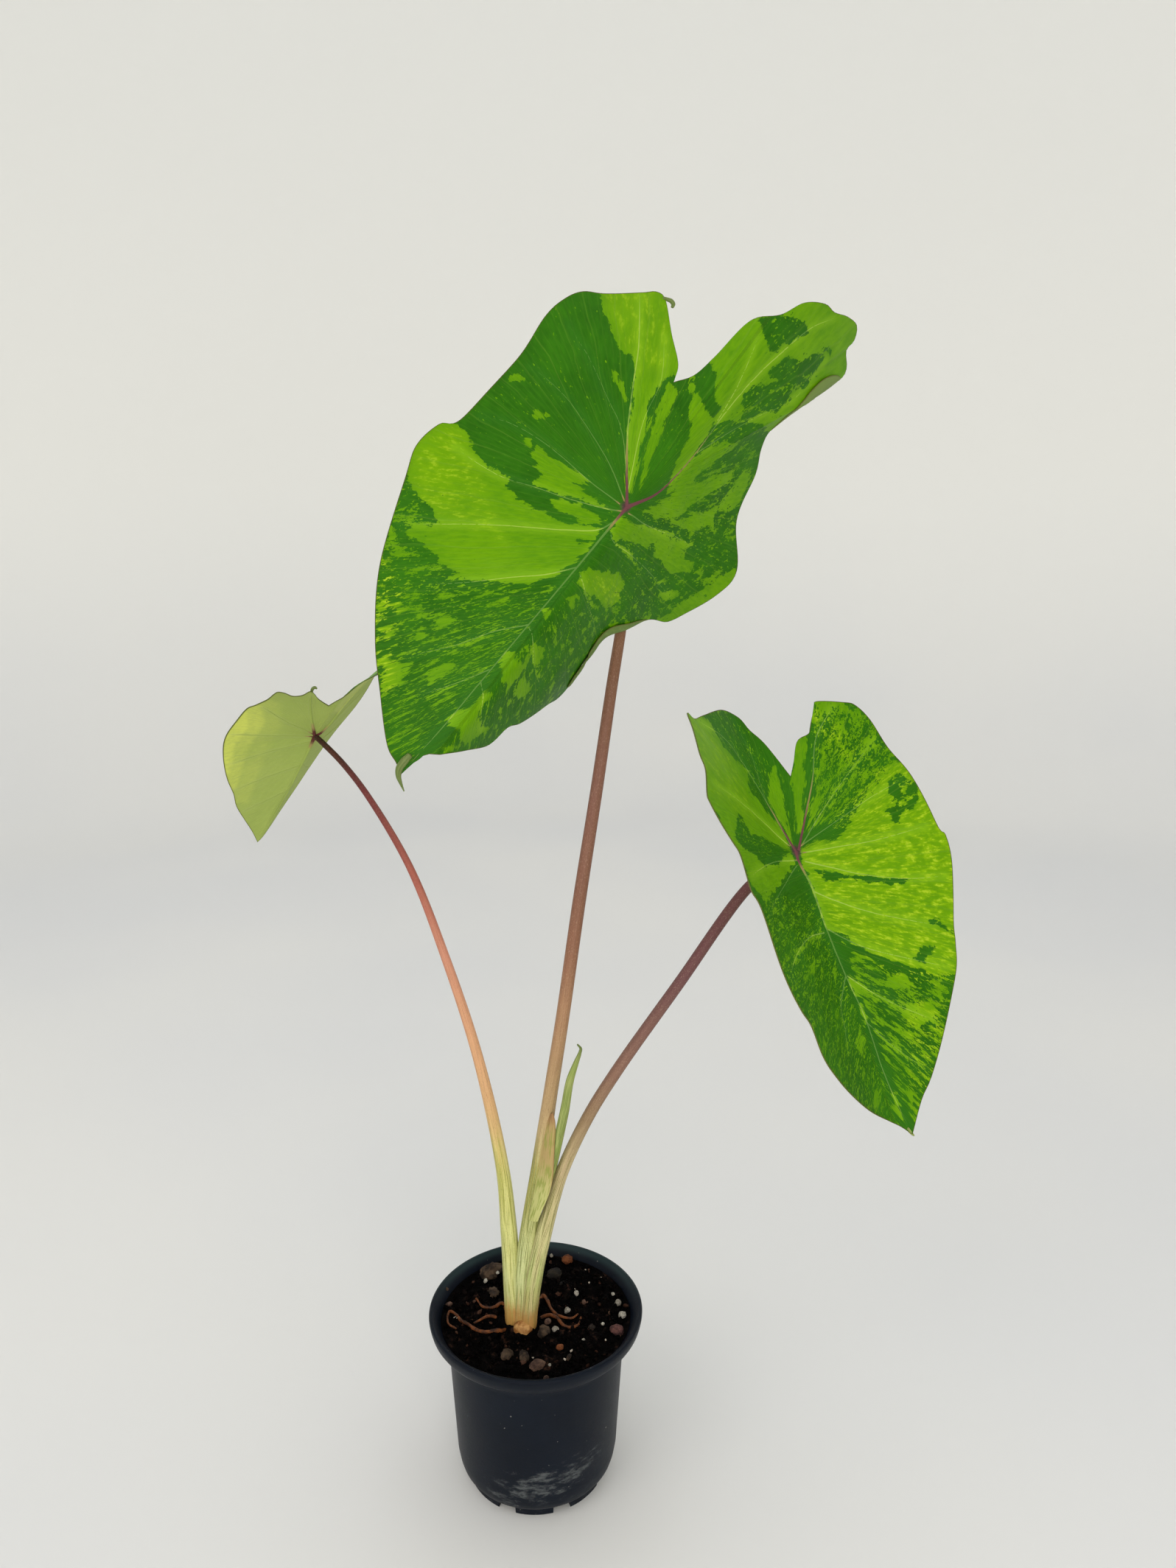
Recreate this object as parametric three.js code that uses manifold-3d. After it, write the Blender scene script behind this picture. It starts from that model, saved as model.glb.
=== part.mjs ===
// Potted variegated colocasia: three leaves, a rolled new leaf, a corm with surface roots,
// soil with stones and perlite, in a round nursery pot.
// Millimetres and degrees, +Z up, origin at the middle of the pot's base.
import * as THREE from 'three';
import { mergeVertices } from 'three/addons/utils/BufferGeometryUtils.js';
import Module from 'manifold-3d';

const wasm = await Module();
wasm.setup();

// Clearance between pieces that touch on the real plant
const CLEARANCE = 0.3;

// Pot
const POT_HEIGHT = 118;
const POT_RIM_RADIUS = 70.5;
const POT_SEGMENTS = 40;
const POT_FLOOR = 5;
const PAD_RADIUS = 14;
const FOOT_INNER_RADIUS = 43;
const FOOT_OUTER_RADIUS = 46.5;
const FOOT_COUNT = 8;
const FOOT_NOTCH_WIDTH = 12;
const FOOT_NOTCH_HEIGHT = 4.5;
const DRAIN_RADIUS = 4;
const DRAIN_CIRCLE_RADIUS = 30;
const DRAIN_COUNT = 8;

// The pot's wall from the foot up, as radius and height, outside and inside
const POT_OUTSIDE = [
  [FOOT_OUTER_RADIUS, 0], [47, 5], [49.5, 7], [51.8, 11], [53.5, 18], [58, 97], [59.5, 101],
  [63, 104.5], [68, 108], [69.8, 112], [POT_RIM_RADIUS, 116], [69.8, POT_HEIGHT],
];
const POT_INSIDE = [
  [67.5, 117.6], [66, 115.5], [63.5, 112.5], [61.5, 108], [58, 102], [56.4, 97], [52, 18.5], [50, 12],
  [47.5, 8], [44, POT_FLOOR],
];

// Soil
const SOIL_LEVEL = 112;
const SOIL_RINGS = 10;
const SOIL_WALL = [
  [43.4, 5.4], [49.4, 12.2], [51.5, 18.6], [56, 97], [57.6, 102.2], [61, 108.1], [62.6, 111.6],
];
const SOIL_EDGE_EASING = 8;
const CRUMB_COUNT = 60;
const CRUMB_SPREAD = 54;
const CRUMB_HEIGHT = 2.6;
const CRUMB_WIDTH = 3;

// Petioles: points along the middle, with the radius there
const PETIOLES = {
  tall: [
    [-8, -9, 102, 6], [-8, -9, 116, 6.8], [-5, -8, 162, 6.6], [3, -7, 219, 5.4],
    [10, -5.5, 267, 4.6], [18.5, 0, 321, 4.3], [29, 10, 394, 4.2], [40, 20.5, 464, 3.9],
    [49.5, 30, 528, 3.6], [55, 34, 563, 3.4], [57.5, 26.5, 589, 3.3], [58, 13, 606, 3.2],
    [57.5, -2, 618, 3.2], [57, -12, 625.5, 3.2], [56, -19.5, 630.5, 3.2],
  ],
  right: [
    [-4, -13, 103, 4.8], [-4, -13, 116, 5.4], [0, -14, 150, 5.5],
    [6, -13.5, 178, 5.1], [17.5, -13, 221, 4.2],
    [34, -12, 259, 3.9], [52, -11, 290, 3.8], [90, -9, 347, 3.6],
    [130, -10, 408, 3.3], [145, -16, 424, 3.2],
    [152, -23.5, 432, 3.2], [155, -29.5, 436.7, 3.1],
  ],
  left: [
    [-14.5, -8, 103, 5], [-14.5, -8, 116, 5.6], [-15, -7, 137, 5.8],
    [-17, -3, 175, 5.5], [-21, 3, 216, 4.4],
    [-37, 19, 285, 3.5], [-60, 44, 345, 3], [-86, 71, 399, 2.7],
    [-119, 102, 442, 2.5], [-139, 120, 461, 2.5],
    [-155, 134, 472.5, 2.5], [-162.6, 139.7, 477.7, 2.5],
  ],
};
const PETIOLE_SIDES = 10;
const PETIOLE_STEPS_PER_POINT = 2;

// New leaf, still rolled: points along the middle, with the radius there
const NEW_LEAF = [
  [6, -11, 200, 2.2], [11, -12.5, 222, 3.1], [16, -14.5, 247, 3.2],
  [20, -16, 267, 3], [23.3, -17, 287, 2.6],
  [27, -18, 299, 1.8], [29.5, -18, 306, 1.1], [30, -18.4, 309, 0.9], [28, -19, 312, 0.5],
];
const NEW_LEAF_SIDES = 8;

// Corm, with the nub that shows in front of the petioles
const CORM = { centre: [-10, -9, 103], radii: [14, 12, 11] };
const CORM_NUB = { centre: [-7.5, -17, 112], radii: [7, 5.5, 7] };
const CORM_DETAIL = 2;
const NUB_DETAIL = 1;
const NUB_DENT = 0.06;
const NUB_SEED = 5;

// Surface roots: points over the soil, from the corm outwards
const ROOT_RADIUS = 1.3;
const ROOT_SIDES = 5;
const ROOT_STEPS_PER_POINT = 2;
const ROOT_TIP = 0.6;
const ROOTS = [
  [
    [-2, -2, 108], [1, 6, 112.5], [4, 15, 114], [7, 9, 115],
    [11, -2, 115.3], [17, -8, 115.3], [24, -9, 115],
    [28, -5, 115],
  ],
  [
    [-3, -7, 108], [8, -5, 114], [14, -9, 115], [18, -15, 114.5],
    [23, -17, 114], [28, -14, 114], [30, -7, 114],
  ],
  [[-18, -2, 108], [-23, 7, 114], [-28, 2, 115], [-35, 2, 115], [-41, 12, 114]],
  [[-19, -6, 108], [-29, -6, 114], [-34, -9, 115], [-40, -13, 114]],
  [
    [-17, -12, 108], [-23, -20, 114], [-32, -22, 115],
    [-39, -20, 115.5], [-43, -16, 115.5], [-48, -12, 115],
    [-52, -6, 115], [-57, -1, 114], [-58, -7, 114], [-56, -14, 114], [-51, -18, 113.5],
  ],
];

// Stones and perlite: middle, radii and turn about Z
const STONES = [
  { name: 'stone_bark', at: [-33, 41, 114], radii: [9, 7.5, 7], turn: 35 },
  { name: 'stone_flat', at: [-30, 19, 113], radii: [6, 5, 3.5], turn: -20 },
  { name: 'stone_orange', at: [20, 54, 114], radii: [4.6, 4, 4], turn: 10 },
  { name: 'stone_olive', at: [11, 39, 113], radii: [6.5, 5.5, 4.5], turn: 50 },
  { name: 'stone_red', at: [53, -18.5, 113], radii: [5.6, 4, 4], turn: -15 },
  { name: 'stone_front_left', at: [-16.5, -41, 113], radii: [5.4, 6, 4.5], turn: 25 },
  { name: 'stone_front_middle', at: [-5.5, -43, 113], radii: [4.2, 5, 4.5], turn: -10 },
  { name: 'stone_front_right', at: [3, -49.5, 112.5], radii: [5.8, 4, 4], turn: 15 },
  { name: 'stone_by_corm', at: [6, -19.3, 112.5], radii: [4.4, 4.4, 4.6], turn: 0 },
];
const PERLITE = [
  { name: 'perlite_right', at: [57, -4.5, 113.5], radii: [3, 2.8, 2.8], turn: 20 },
  { name: 'perlite_back', at: [54.5, 8, 113.5], radii: [2.8, 2.6, 2.4], turn: 70 },
  { name: 'perlite_middle', at: [20.8, -0.3, 114], radii: [2.2, 2.2, 2.6], turn: 30 },
  { name: 'perlite_front', at: [13.3, -17.5, 113.5], radii: [2.6, 2.3, 2.2], turn: 0 },
];
const GRAIN_DETAIL = 1;
const GRAIN_DENT = 0.2;
const GRAIN_FIRST_SEED = 20;
const GRAIN_CLEARANCE = 0.4;

// Blades. A blade is laid out flat, s from the petiole towards the tip and t across to the
// right of the upper face, then bent along s, folded and curled on each side of the midrib,
// and turned about X, Y and Z in that order.
const BLADES = {
  tall: {
    at: [56, -20, 631], turn: [-63, 46, -143],
    bendTip: 9.3, bendLobes: [4.3, -0.5],
    fold: [6, 53], foldChange: [0, 13], changeLength: 150, curl: [2.7, 4.1],
    left: [
      [200, -6], [194, -12], [182, -29], [164, -46], [144, -64],
      [109, -87], [64, -104], [44, -111], [26, -109],
      [15, -101], [-34, -99], [-67, -102], [-85, -100], [-97, -95], [-105, -85], [-121, -68], [-127, -62],
      [-126, -55], [-109, -40], [-94, -26], [-82, -22],
    ],
    right: [
      [-82, -22], [-94, -15], [-113, -12], [-150, -8], [-167, 6], [-186, 15], [-201, 30], [-206, 41],
      [-217, 54], [-225, 68], [-220, 76], [-211, 76], [-208, 88],
      [-200, 93], [-181, 79], [-148, 69], [-126, 66],
      [-115, 71], [-102, 82], [-71, 91], [-54, 118], [-36, 121], [-15, 119], [0, 114], [16, 95], [48, 77],
      [64, 84], [77, 88], [87, 97], [98, 96], [108, 84],
      [129, 66], [137, 54], [152, 50], [162, 40], [170, 5],
      [179, -4], [189, -5], [200, -6],
    ],
    waves: [[152, 16, -7], [110, 15, 9], [50, 12, -6]],
    ripple: 1.2, ripples: 6, rays: 88, rings: 8,
  },
  right: {
    at: [155, -30, 437], turn: [17, 59, -48],
    bendTip: 6.1, bendLobes: [2, 1.2],
    fold: [-36, -12], foldChange: [0, 0], changeLength: 150, curl: [-6, 4.6],
    left: [
      [171, 10], [161, 0], [145, -24], [121, -51], [105, -65], [88, -67], [79, -72], [62, -76], [26, -78],
      [15, -83], [-3, -75], [-11, -77], [-33, -88], [-38, -88],
      [-52, -78], [-61, -77], [-77, -69], [-86, -66],
      [-87, -50], [-92, -19], [-91, -9], [-63, 8], [-43, 16],
    ],
    right: [
      [-43, 16], [-50, 21], [-62, 29], [-65, 39], [-76, 44],
      [-82, 50], [-76, 68], [-72, 74], [-61, 79], [-42, 83],
      [-21, 90], [13, 92], [20, 95], [37, 92], [67, 78],
      [80, 74], [96, 68], [124, 48], [145, 32], [155, 22],
      [171, 10],
    ],
    waves: [], ripple: 1, ripples: 5, rays: 76, rings: 7,
  },
  left: {
    at: [-163, 140, 478], turn: [30, 47, 140],
    bendTip: 7, bendLobes: [30, 50],
    fold: [-62, 14], foldChange: [-4, 0], changeLength: 60, curl: [12, 1],
    left: [
      [118, 0], [106, -9], [79, -27], [45, -48], [20, -58], [0, -60], [-20, -57], [-40, -50], [-58, -42],
      [-78, -28], [-100, -17], [-108, -9], [-92, -4], [-60, -2], [-36, 4],
    ],
    right: [
      [-36, 4], [-48, 14], [-57, 26], [-52, 38], [-38, 50],
      [-20, 59], [0, 62], [20, 60], [45, 52], [79, 31],
      [106, 10], [118, 0],
    ],
    waves: [], ripple: 0.8, ripples: 4, rays: 64, rings: 5,
  },
};
const MIDRIB_SOFTNESS = 12;
const LOBE_BLEND = 30;
const MARGIN_THICKNESS = 1.1;
const MIDDLE_THICKNESS = 2.2;
const RIB_HEIGHT = 1.2;
const RIB_ANGLES = [0, 152, -152];
const RIB_HALF_ANGLE = 4;

// Finishes: colour, roughness
const FINISHES = {
  pot: [0x1e262b, 0.5],
  soil: [0x1b1613, 0.95],
  corm: [0x8a5a34, 0.7],
  petioleTall: [0xa7825a, 0.45],
  petioleRight: [0x8f6658, 0.45],
  petioleLeft: [0xb07a4e, 0.45],
  blade: [0x4f9a1e, 0.4],
  bladeUnder: [0x9cb45a, 0.55],
  newLeaf: [0x6f9a3c, 0.45],
  stone: [0x6a4c3c, 0.9],
  perlite: [0xd9d3c4, 0.95],
};

// Distance under which points are one
const WELD = 1e-4;
const DRAIN_SIDES = 10;

const radians = THREE.MathUtils.degToRad;

// Repeatable random numbers between 0 and 1
function randomFrom(seed) {
  let state = seed >>> 0;
  return () => {
    state = (Math.imul(state, 1664525) + 1013904223) >>> 0;
    return state / 4294967296;
  };
}

// A closed geometry from points and triangles, turned so that its faces point out
function closedGeometry(points, triangles) {
  let volume = 0;
  for (const [a, b, c] of triangles) {
    volume += points[a].dot(new THREE.Vector3().crossVectors(points[b], points[c]));
  }
  const outward = volume > 0 ? triangles : triangles.map(([a, b, c]) => [a, c, b]);
  const geometry = new THREE.BufferGeometry();
  geometry.setAttribute('position', new THREE.Float32BufferAttribute(points.flatMap((p) => p.toArray()), 3));
  geometry.setIndex(outward.flat());
  return geometry;
}

function toSolid(geometry) {
  const bare = geometry.clone();
  bare.deleteAttribute('normal');
  bare.deleteAttribute('uv');
  const merged = mergeVertices(bare, WELD);
  return new wasm.Manifold(new wasm.Mesh({
    numProp: 3,
    vertProperties: new Float32Array(merged.attributes.position.array),
    triVerts: new Uint32Array(merged.index.array),
  }));
}

function toGeometry(solid) {
  const mesh = solid.getMesh();
  const geometry = new THREE.BufferGeometry();
  geometry.setAttribute('position', new THREE.Float32BufferAttribute(mesh.vertProperties, mesh.numProp));
  geometry.setIndex(Array.from(mesh.triVerts));
  return geometry;
}

// The largest of the bodies that a cut leaves
function largestBody(solid) {
  return solid.decompose().reduce((best, body) => (body.volume() > best.volume() ? body : best));
}

// A round bar along points [x, y, z, radius], with flat ends, its radius grown by a margin
function bar(stations, sides, stepsPerPoint, margin = 0) {
  const middles = stations.map(([x, y, z]) => new THREE.Vector3(x, y, z));
  const curve = new THREE.CatmullRomCurve3(middles, false, 'centripetal');
  const steps = (stations.length - 1) * stepsPerPoint;
  const frames = { normals: [], binormals: [] };
  let across = new THREE.Vector3(0, 1, 0);
  for (let i = 0; i <= steps; i += 1) {
    const tangent = curve.getTangent(i / steps);
    across = across.clone().addScaledVector(tangent, -across.dot(tangent)).normalize();
    frames.normals.push(across);
    frames.binormals.push(new THREE.Vector3().crossVectors(tangent, across));
  }
  const points = [];
  for (let i = 0; i <= steps; i += 1) {
    const place = (i / steps) * (stations.length - 1);
    const before = Math.min(Math.floor(place), stations.length - 2);
    const [radiusBefore, radiusAfter] = [stations[before][3], stations[before + 1][3]];
    const radius = THREE.MathUtils.lerp(radiusBefore, radiusAfter, place - before) + margin;
    const middle = curve.getPoint(i / steps);
    for (let k = 0; k < sides; k += 1) {
      const angle = (2 * Math.PI * k) / sides;
      points.push(middle.clone()
        .addScaledVector(frames.normals[i], radius * Math.cos(angle))
        .addScaledVector(frames.binormals[i], radius * Math.sin(angle)));
    }
  }
  const triangles = [];
  for (let i = 0; i < steps; i += 1) {
    for (let k = 0; k < sides; k += 1) {
      const next = (k + 1) % sides;
      const [a, b, c, d] = [i * sides + k, i * sides + next, (i + 1) * sides + k, (i + 1) * sides + next];
      triangles.push([a, b, d], [a, d, c]);
    }
  }
  for (let k = 1; k < sides - 1; k += 1) {
    triangles.push([0, k + 1, k], [steps * sides, steps * sides + k, steps * sides + k + 1]);
  }
  return closedGeometry(points, triangles);
}

// An egg-shaped lump, with seeded dents
function lump({ centre, radii, turn = 0 }, detail, dent, seed, margin = 0) {
  const geometry = mergedSphere(detail);
  const position = geometry.attributes.position;
  const random = randomFrom(seed);
  for (let i = 0; i < position.count; i += 1) {
    const point = new THREE.Vector3().fromBufferAttribute(position, i).normalize();
    point.multiplyScalar(1 - dent * random());
    point.set(point.x * (radii[0] + margin), point.y * (radii[1] + margin), point.z * (radii[2] + margin));
    point.applyAxisAngle(new THREE.Vector3(0, 0, 1), radians(turn));
    point.add(new THREE.Vector3(...centre));
    position.setXYZ(i, point.x, point.y, point.z);
  }
  return geometry;
}

function mergedSphere(detail) {
  const geometry = new THREE.IcosahedronGeometry(1, detail);
  geometry.deleteAttribute('normal');
  geometry.deleteAttribute('uv');
  return mergeVertices(geometry, WELD);
}

// Pot: a turned shell with notches between its feet and drain holes in its floor
function pot() {
  const profile = [
    [0, 0], [PAD_RADIUS, 0], [PAD_RADIUS + 2, 3], [FOOT_INNER_RADIUS - 0.5, 3], [FOOT_INNER_RADIUS, 0],
    ...POT_OUTSIDE, ...POT_INSIDE, [0, POT_FLOOR],
  ];
  let solid = toSolid(lathe(profile));
  for (let i = 0; i < FOOT_COUNT; i += 1) {
    const notch = new THREE.BoxGeometry(2 * FOOT_NOTCH_WIDTH, FOOT_NOTCH_WIDTH, 2 * FOOT_NOTCH_HEIGHT);
    notch.translate(FOOT_OUTER_RADIUS, 0, 0);
    notch.rotateZ(radians((360 / FOOT_COUNT) * i - 90 + 180 / FOOT_COUNT));
    solid = solid.subtract(toSolid(notch));
  }
  for (let i = 0; i < DRAIN_COUNT; i += 1) {
    const hole = new THREE.CylinderGeometry(DRAIN_RADIUS, DRAIN_RADIUS, 4 * POT_FLOOR, DRAIN_SIDES);
    hole.rotateX(Math.PI / 2);
    hole.translate(DRAIN_CIRCLE_RADIUS, 0, 0);
    hole.rotateZ(radians((360 / DRAIN_COUNT) * i));
    solid = solid.subtract(toSolid(hole));
  }
  return toGeometry(solid);
}

function lathe(profile) {
  const geometry = new THREE.LatheGeometry(profile.map(([r, z]) => new THREE.Vector2(r, z)), POT_SEGMENTS);
  geometry.rotateX(Math.PI / 2);
  const merged = geometry.clone();
  merged.deleteAttribute('normal');
  merged.deleteAttribute('uv');
  return facingOut(dropSlivers(mergeVertices(merged, WELD)));
}

function dropSlivers(geometry) {
  const index = Array.from(geometry.index.array);
  const kept = [];
  for (let i = 0; i < index.length; i += 3) {
    const [a, b, c] = index.slice(i, i + 3);
    if (a !== b && b !== c && a !== c) {
      kept.push(a, b, c);
    }
  }
  geometry.setIndex(kept);
  return geometry;
}

function facingOut(geometry) {
  const position = geometry.attributes.position;
  const points = [];
  for (let i = 0; i < position.count; i += 1) {
    points.push(new THREE.Vector3().fromBufferAttribute(position, i));
  }
  const index = Array.from(geometry.index.array);
  const triangles = [];
  for (let i = 0; i < index.length; i += 3) {
    triangles.push(index.slice(i, i + 3));
  }
  return closedGeometry(points, triangles);
}

// Soil: a filled body with a crumbly top
function crumbs() {
  const random = randomFrom(11);
  const list = [];
  for (let i = 0; i < CRUMB_COUNT; i += 1) {
    const radius = CRUMB_SPREAD * Math.sqrt(random());
    const angle = 2 * Math.PI * random();
    list.push({
      x: radius * Math.cos(angle),
      y: radius * Math.sin(angle),
      height: CRUMB_HEIGHT * random(),
      width: CRUMB_WIDTH * (1 + random()),
    });
  }
  return list;
}

const CRUMBS = crumbs();

function soilHeight(x, y) {
  let height = SOIL_LEVEL + 0.5 * Math.sin(0.21 * x + 1) * Math.cos(0.17 * y);
  for (const crumb of CRUMBS) {
    const away = ((x - crumb.x) ** 2 + (y - crumb.y) ** 2) / crumb.width ** 2;
    height += crumb.height * Math.exp(-away);
  }
  return height;
}

function soil(hollows) {
  const [edgeRadius, edgeHeight] = SOIL_WALL[SOIL_WALL.length - 1];
  const points = [new THREE.Vector3(0, 0, soilHeight(0, 0))];
  const rings = [];
  for (let i = 1; i <= SOIL_RINGS; i += 1) {
    const radius = (edgeRadius * i) / SOIL_RINGS;
    const towardsEdge = (i / SOIL_RINGS) ** SOIL_EDGE_EASING;
    rings.push((x, y) => {
      const height = soilHeight(x * radius, y * radius);
      return [radius, THREE.MathUtils.lerp(height, edgeHeight, towardsEdge)];
    });
  }
  for (const [radius, height] of SOIL_WALL.slice(0, -1).reverse()) {
    rings.push(() => [radius, height]);
  }
  for (const ring of rings) {
    for (let k = 0; k < POT_SEGMENTS; k += 1) {
      const angle = (2 * Math.PI * k) / POT_SEGMENTS;
      const [radius, height] = ring(Math.cos(angle), Math.sin(angle));
      points.push(new THREE.Vector3(radius * Math.cos(angle), radius * Math.sin(angle), height));
    }
  }
  points.push(new THREE.Vector3(0, 0, SOIL_WALL[0][1]));
  const triangles = [];
  const last = points.length - 1;
  const lastRing = 1 + (rings.length - 1) * POT_SEGMENTS;
  for (let k = 0; k < POT_SEGMENTS; k += 1) {
    const next = (k + 1) % POT_SEGMENTS;
    triangles.push([0, 1 + k, 1 + next], [last, lastRing + next, lastRing + k]);
    for (let i = 0; i < rings.length - 1; i += 1) {
      const [a, b] = [1 + i * POT_SEGMENTS + k, 1 + i * POT_SEGMENTS + next];
      triangles.push([a, a + POT_SEGMENTS, b + POT_SEGMENTS], [a, b + POT_SEGMENTS, b]);
    }
  }
  return toGeometry(largestBody(toSolid(closedGeometry(points, triangles)).subtract(hollows)));
}

// Where a point of a flat blade, raised by a height off its middle surface, lies in the plant
function bladePoint(blade, s, t, raise) {
  const side = t < 0 ? 0 : 1;
  const lobeMean = (blade.bendLobes[0] + blade.bendLobes[1]) / 2;
  const lobeHalf = (blade.bendLobes[1] - blade.bendLobes[0]) / 2;
  const bend = s > 0 ? blade.bendTip : lobeMean + lobeHalf * Math.tanh(t / LOBE_BLEND);
  const perLength = radians(bend) / 100;
  const along = Math.sin(perLength * s) / perLength;
  const drop = -(1 - Math.cos(perLength * s)) / perLength;
  const slant = Math.hypot(t, MIDRIB_SOFTNESS);
  const across = slant - MIDRIB_SOFTNESS;
  const change = THREE.MathUtils.clamp(s / blade.changeLength, -1, 1);
  const fold = radians(blade.fold[side] + blade.foldChange[side] * change);
  const curl = radians(blade.curl[side]) / 100;
  const leanY = Math.sin(fold + curl * across) * (t / slant);
  const leanZ = Math.sqrt(1 - leanY * leanY);
  const swing = fold + (curl * across) / 2;
  const y = t * Math.cos(swing) + raise * leanY;
  const fall = across * Math.sin(swing) - raise * leanZ;
  const local = new THREE.Vector3(
    along - Math.sin(perLength * s) * fall, y, drop - Math.cos(perLength * s) * fall,
  );
  const turn = new THREE.Euler(...blade.turn.map(radians), 'ZYX');
  return local.applyEuler(turn).add(new THREE.Vector3(...blade.at));
}

// How far the margin waves off the blade's middle surface
function bladeWave(blade, s, t, u, reach) {
  const angle = THREE.MathUtils.radToDeg(Math.atan2(t, s));
  let height = blade.ripple * Math.sin(2 * Math.PI * blade.ripples * u) * Math.sin(Math.PI * u);
  for (const [middle, width, amount] of blade.waves) {
    const away = ((angle - middle + 540) % 360) - 180;
    height += amount * Math.exp(-((away / width) ** 2));
  }
  return height * reach ** 3;
}

function bladeThickness(s, t, reach) {
  const angle = THREE.MathUtils.radToDeg(Math.atan2(t, s));
  const plain = THREE.MathUtils.lerp(MIDDLE_THICKNESS, MARGIN_THICKNESS, Math.min(1, 2 * reach));
  const onRib = RIB_ANGLES.some((rib) => Math.abs(angle - rib) < RIB_HALF_ANGLE);
  return { above: plain / 2, below: plain / 2 + (onRib ? RIB_HEIGHT * (1 - reach) : 0) };
}

function sidePoints(points, count) {
  const corners = points.map(([s, t]) => new THREE.Vector3(s, t, 0));
  const curve = new THREE.CatmullRomCurve3(corners, false, 'catmullrom', 0.5);
  const spaced = curve.getSpacedPoints(count).slice(0, count);
  return spaced.map((p, i) => ({ s: p.x, t: p.y, u: i / count }));
}

// A blade: rays from the petiole to the margin, on two faces split into triangles alike
function blade(shape, margin = 0) {
  const edge = [...sidePoints(shape.left, shape.rays / 2), ...sidePoints(shape.right, shape.rays / 2)];
  const faces = [[], []];
  for (let ring = 0; ring <= shape.rings; ring += 1) {
    const reach = ring / shape.rings;
    for (const { s, t, u } of ring === 0 ? [{ s: 1, t: 0, u: 0 }] : edge) {
      const wave = bladeWave(shape, s, t, u, reach);
      const { above, below } = bladeThickness(s, t, reach);
      faces[0].push(bladePoint(shape, s * reach, t * reach, wave + above + margin));
      faces[1].push(bladePoint(shape, s * reach, t * reach, wave - below - margin));
    }
  }
  const perFace = faces[0].length;
  const triangles = [];
  const rays = edge.length;
  for (let k = 0; k < rays; k += 1) {
    const next = (k + 1) % rays;
    triangles.push([0, 1 + k, 1 + next], [perFace, perFace + 1 + next, perFace + 1 + k]);
    for (let ring = 0; ring < shape.rings - 1; ring += 1) {
      const [a, b] = [1 + ring * rays + k, 1 + ring * rays + next];
      const [c, d] = [a + rays, b + rays];
      triangles.push([a, c, d], [a, d, b]);
      triangles.push([perFace + a, perFace + d, perFace + c], [perFace + a, perFace + b, perFace + d]);
    }
    const lastRing = 1 + (shape.rings - 1) * rays;
    const [outer, outerNext] = [lastRing + k, lastRing + next];
    triangles.push([outer, perFace + outer, perFace + outerNext], [outer, perFace + outerNext, outerNext]);
  }
  return closedGeometry([...faces[0], ...faces[1]], triangles);
}

function petioleSolid(name, margin) {
  return toSolid(bar(PETIOLES[name], PETIOLE_SIDES, PETIOLE_STEPS_PER_POINT, margin));
}

// A petiole, cut clear of its blade and of the petioles that it wraps
function petiole(name, wrapped) {
  let solid = petioleSolid(name, 0).subtract(toSolid(blade(BLADES[name], CLEARANCE)));
  for (const other of wrapped) {
    solid = solid.subtract(petioleSolid(other, CLEARANCE));
  }
  return toGeometry(largestBody(solid));
}

function cormSolid(margin) {
  let solid = toSolid(lump(CORM, CORM_DETAIL, 0, 0, margin));
  solid = solid.add(toSolid(lump(CORM_NUB, NUB_DETAIL, NUB_DENT, NUB_SEED, margin)));
  for (const route of ROOTS) {
    const stations = route.map(([x, y, z], i) => {
      const radius = THREE.MathUtils.lerp(ROOT_RADIUS, ROOT_TIP, i / (route.length - 1));
      return [x, y, z, radius];
    });
    solid = solid.add(toSolid(bar(stations, ROOT_SIDES, ROOT_STEPS_PER_POINT, margin)));
  }
  return solid;
}

function newLeaf() {
  const solid = toSolid(bar(NEW_LEAF, NEW_LEAF_SIDES, PETIOLE_STEPS_PER_POINT));
  const free = solid.subtract(petioleSolid('tall', CLEARANCE)).subtract(petioleSolid('right', CLEARANCE));
  return toGeometry(largestBody(free));
}

const plant = new THREE.Group();

function addPiece(name, geometry, [color, roughness]) {
  const mesh = new THREE.Mesh(geometry, new THREE.MeshStandardMaterial({ color, roughness, metalness: 0 }));
  mesh.name = name;
  plant.add(mesh);
}

const GRAINS = [
  ...STONES.map((grain) => ({ ...grain, finish: FINISHES.stone })),
  ...PERLITE.map((grain) => ({ ...grain, finish: FINISHES.perlite })),
];

function grainGeometry(index, margin) {
  const { at, radii, turn } = GRAINS[index];
  return lump({ centre: at, radii, turn }, GRAIN_DETAIL, GRAIN_DENT, GRAIN_FIRST_SEED + index, margin);
}

const stems = Object.keys(PETIOLES)
  .map((name) => petioleSolid(name, CLEARANCE))
  .reduce((all, next) => all.add(next));
const grainHollows = GRAINS
  .map((grain, index) => toSolid(grainGeometry(index, GRAIN_CLEARANCE)))
  .reduce((all, next) => all.add(next));
const hollows = stems.add(cormSolid(CLEARANCE)).add(grainHollows);

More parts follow.
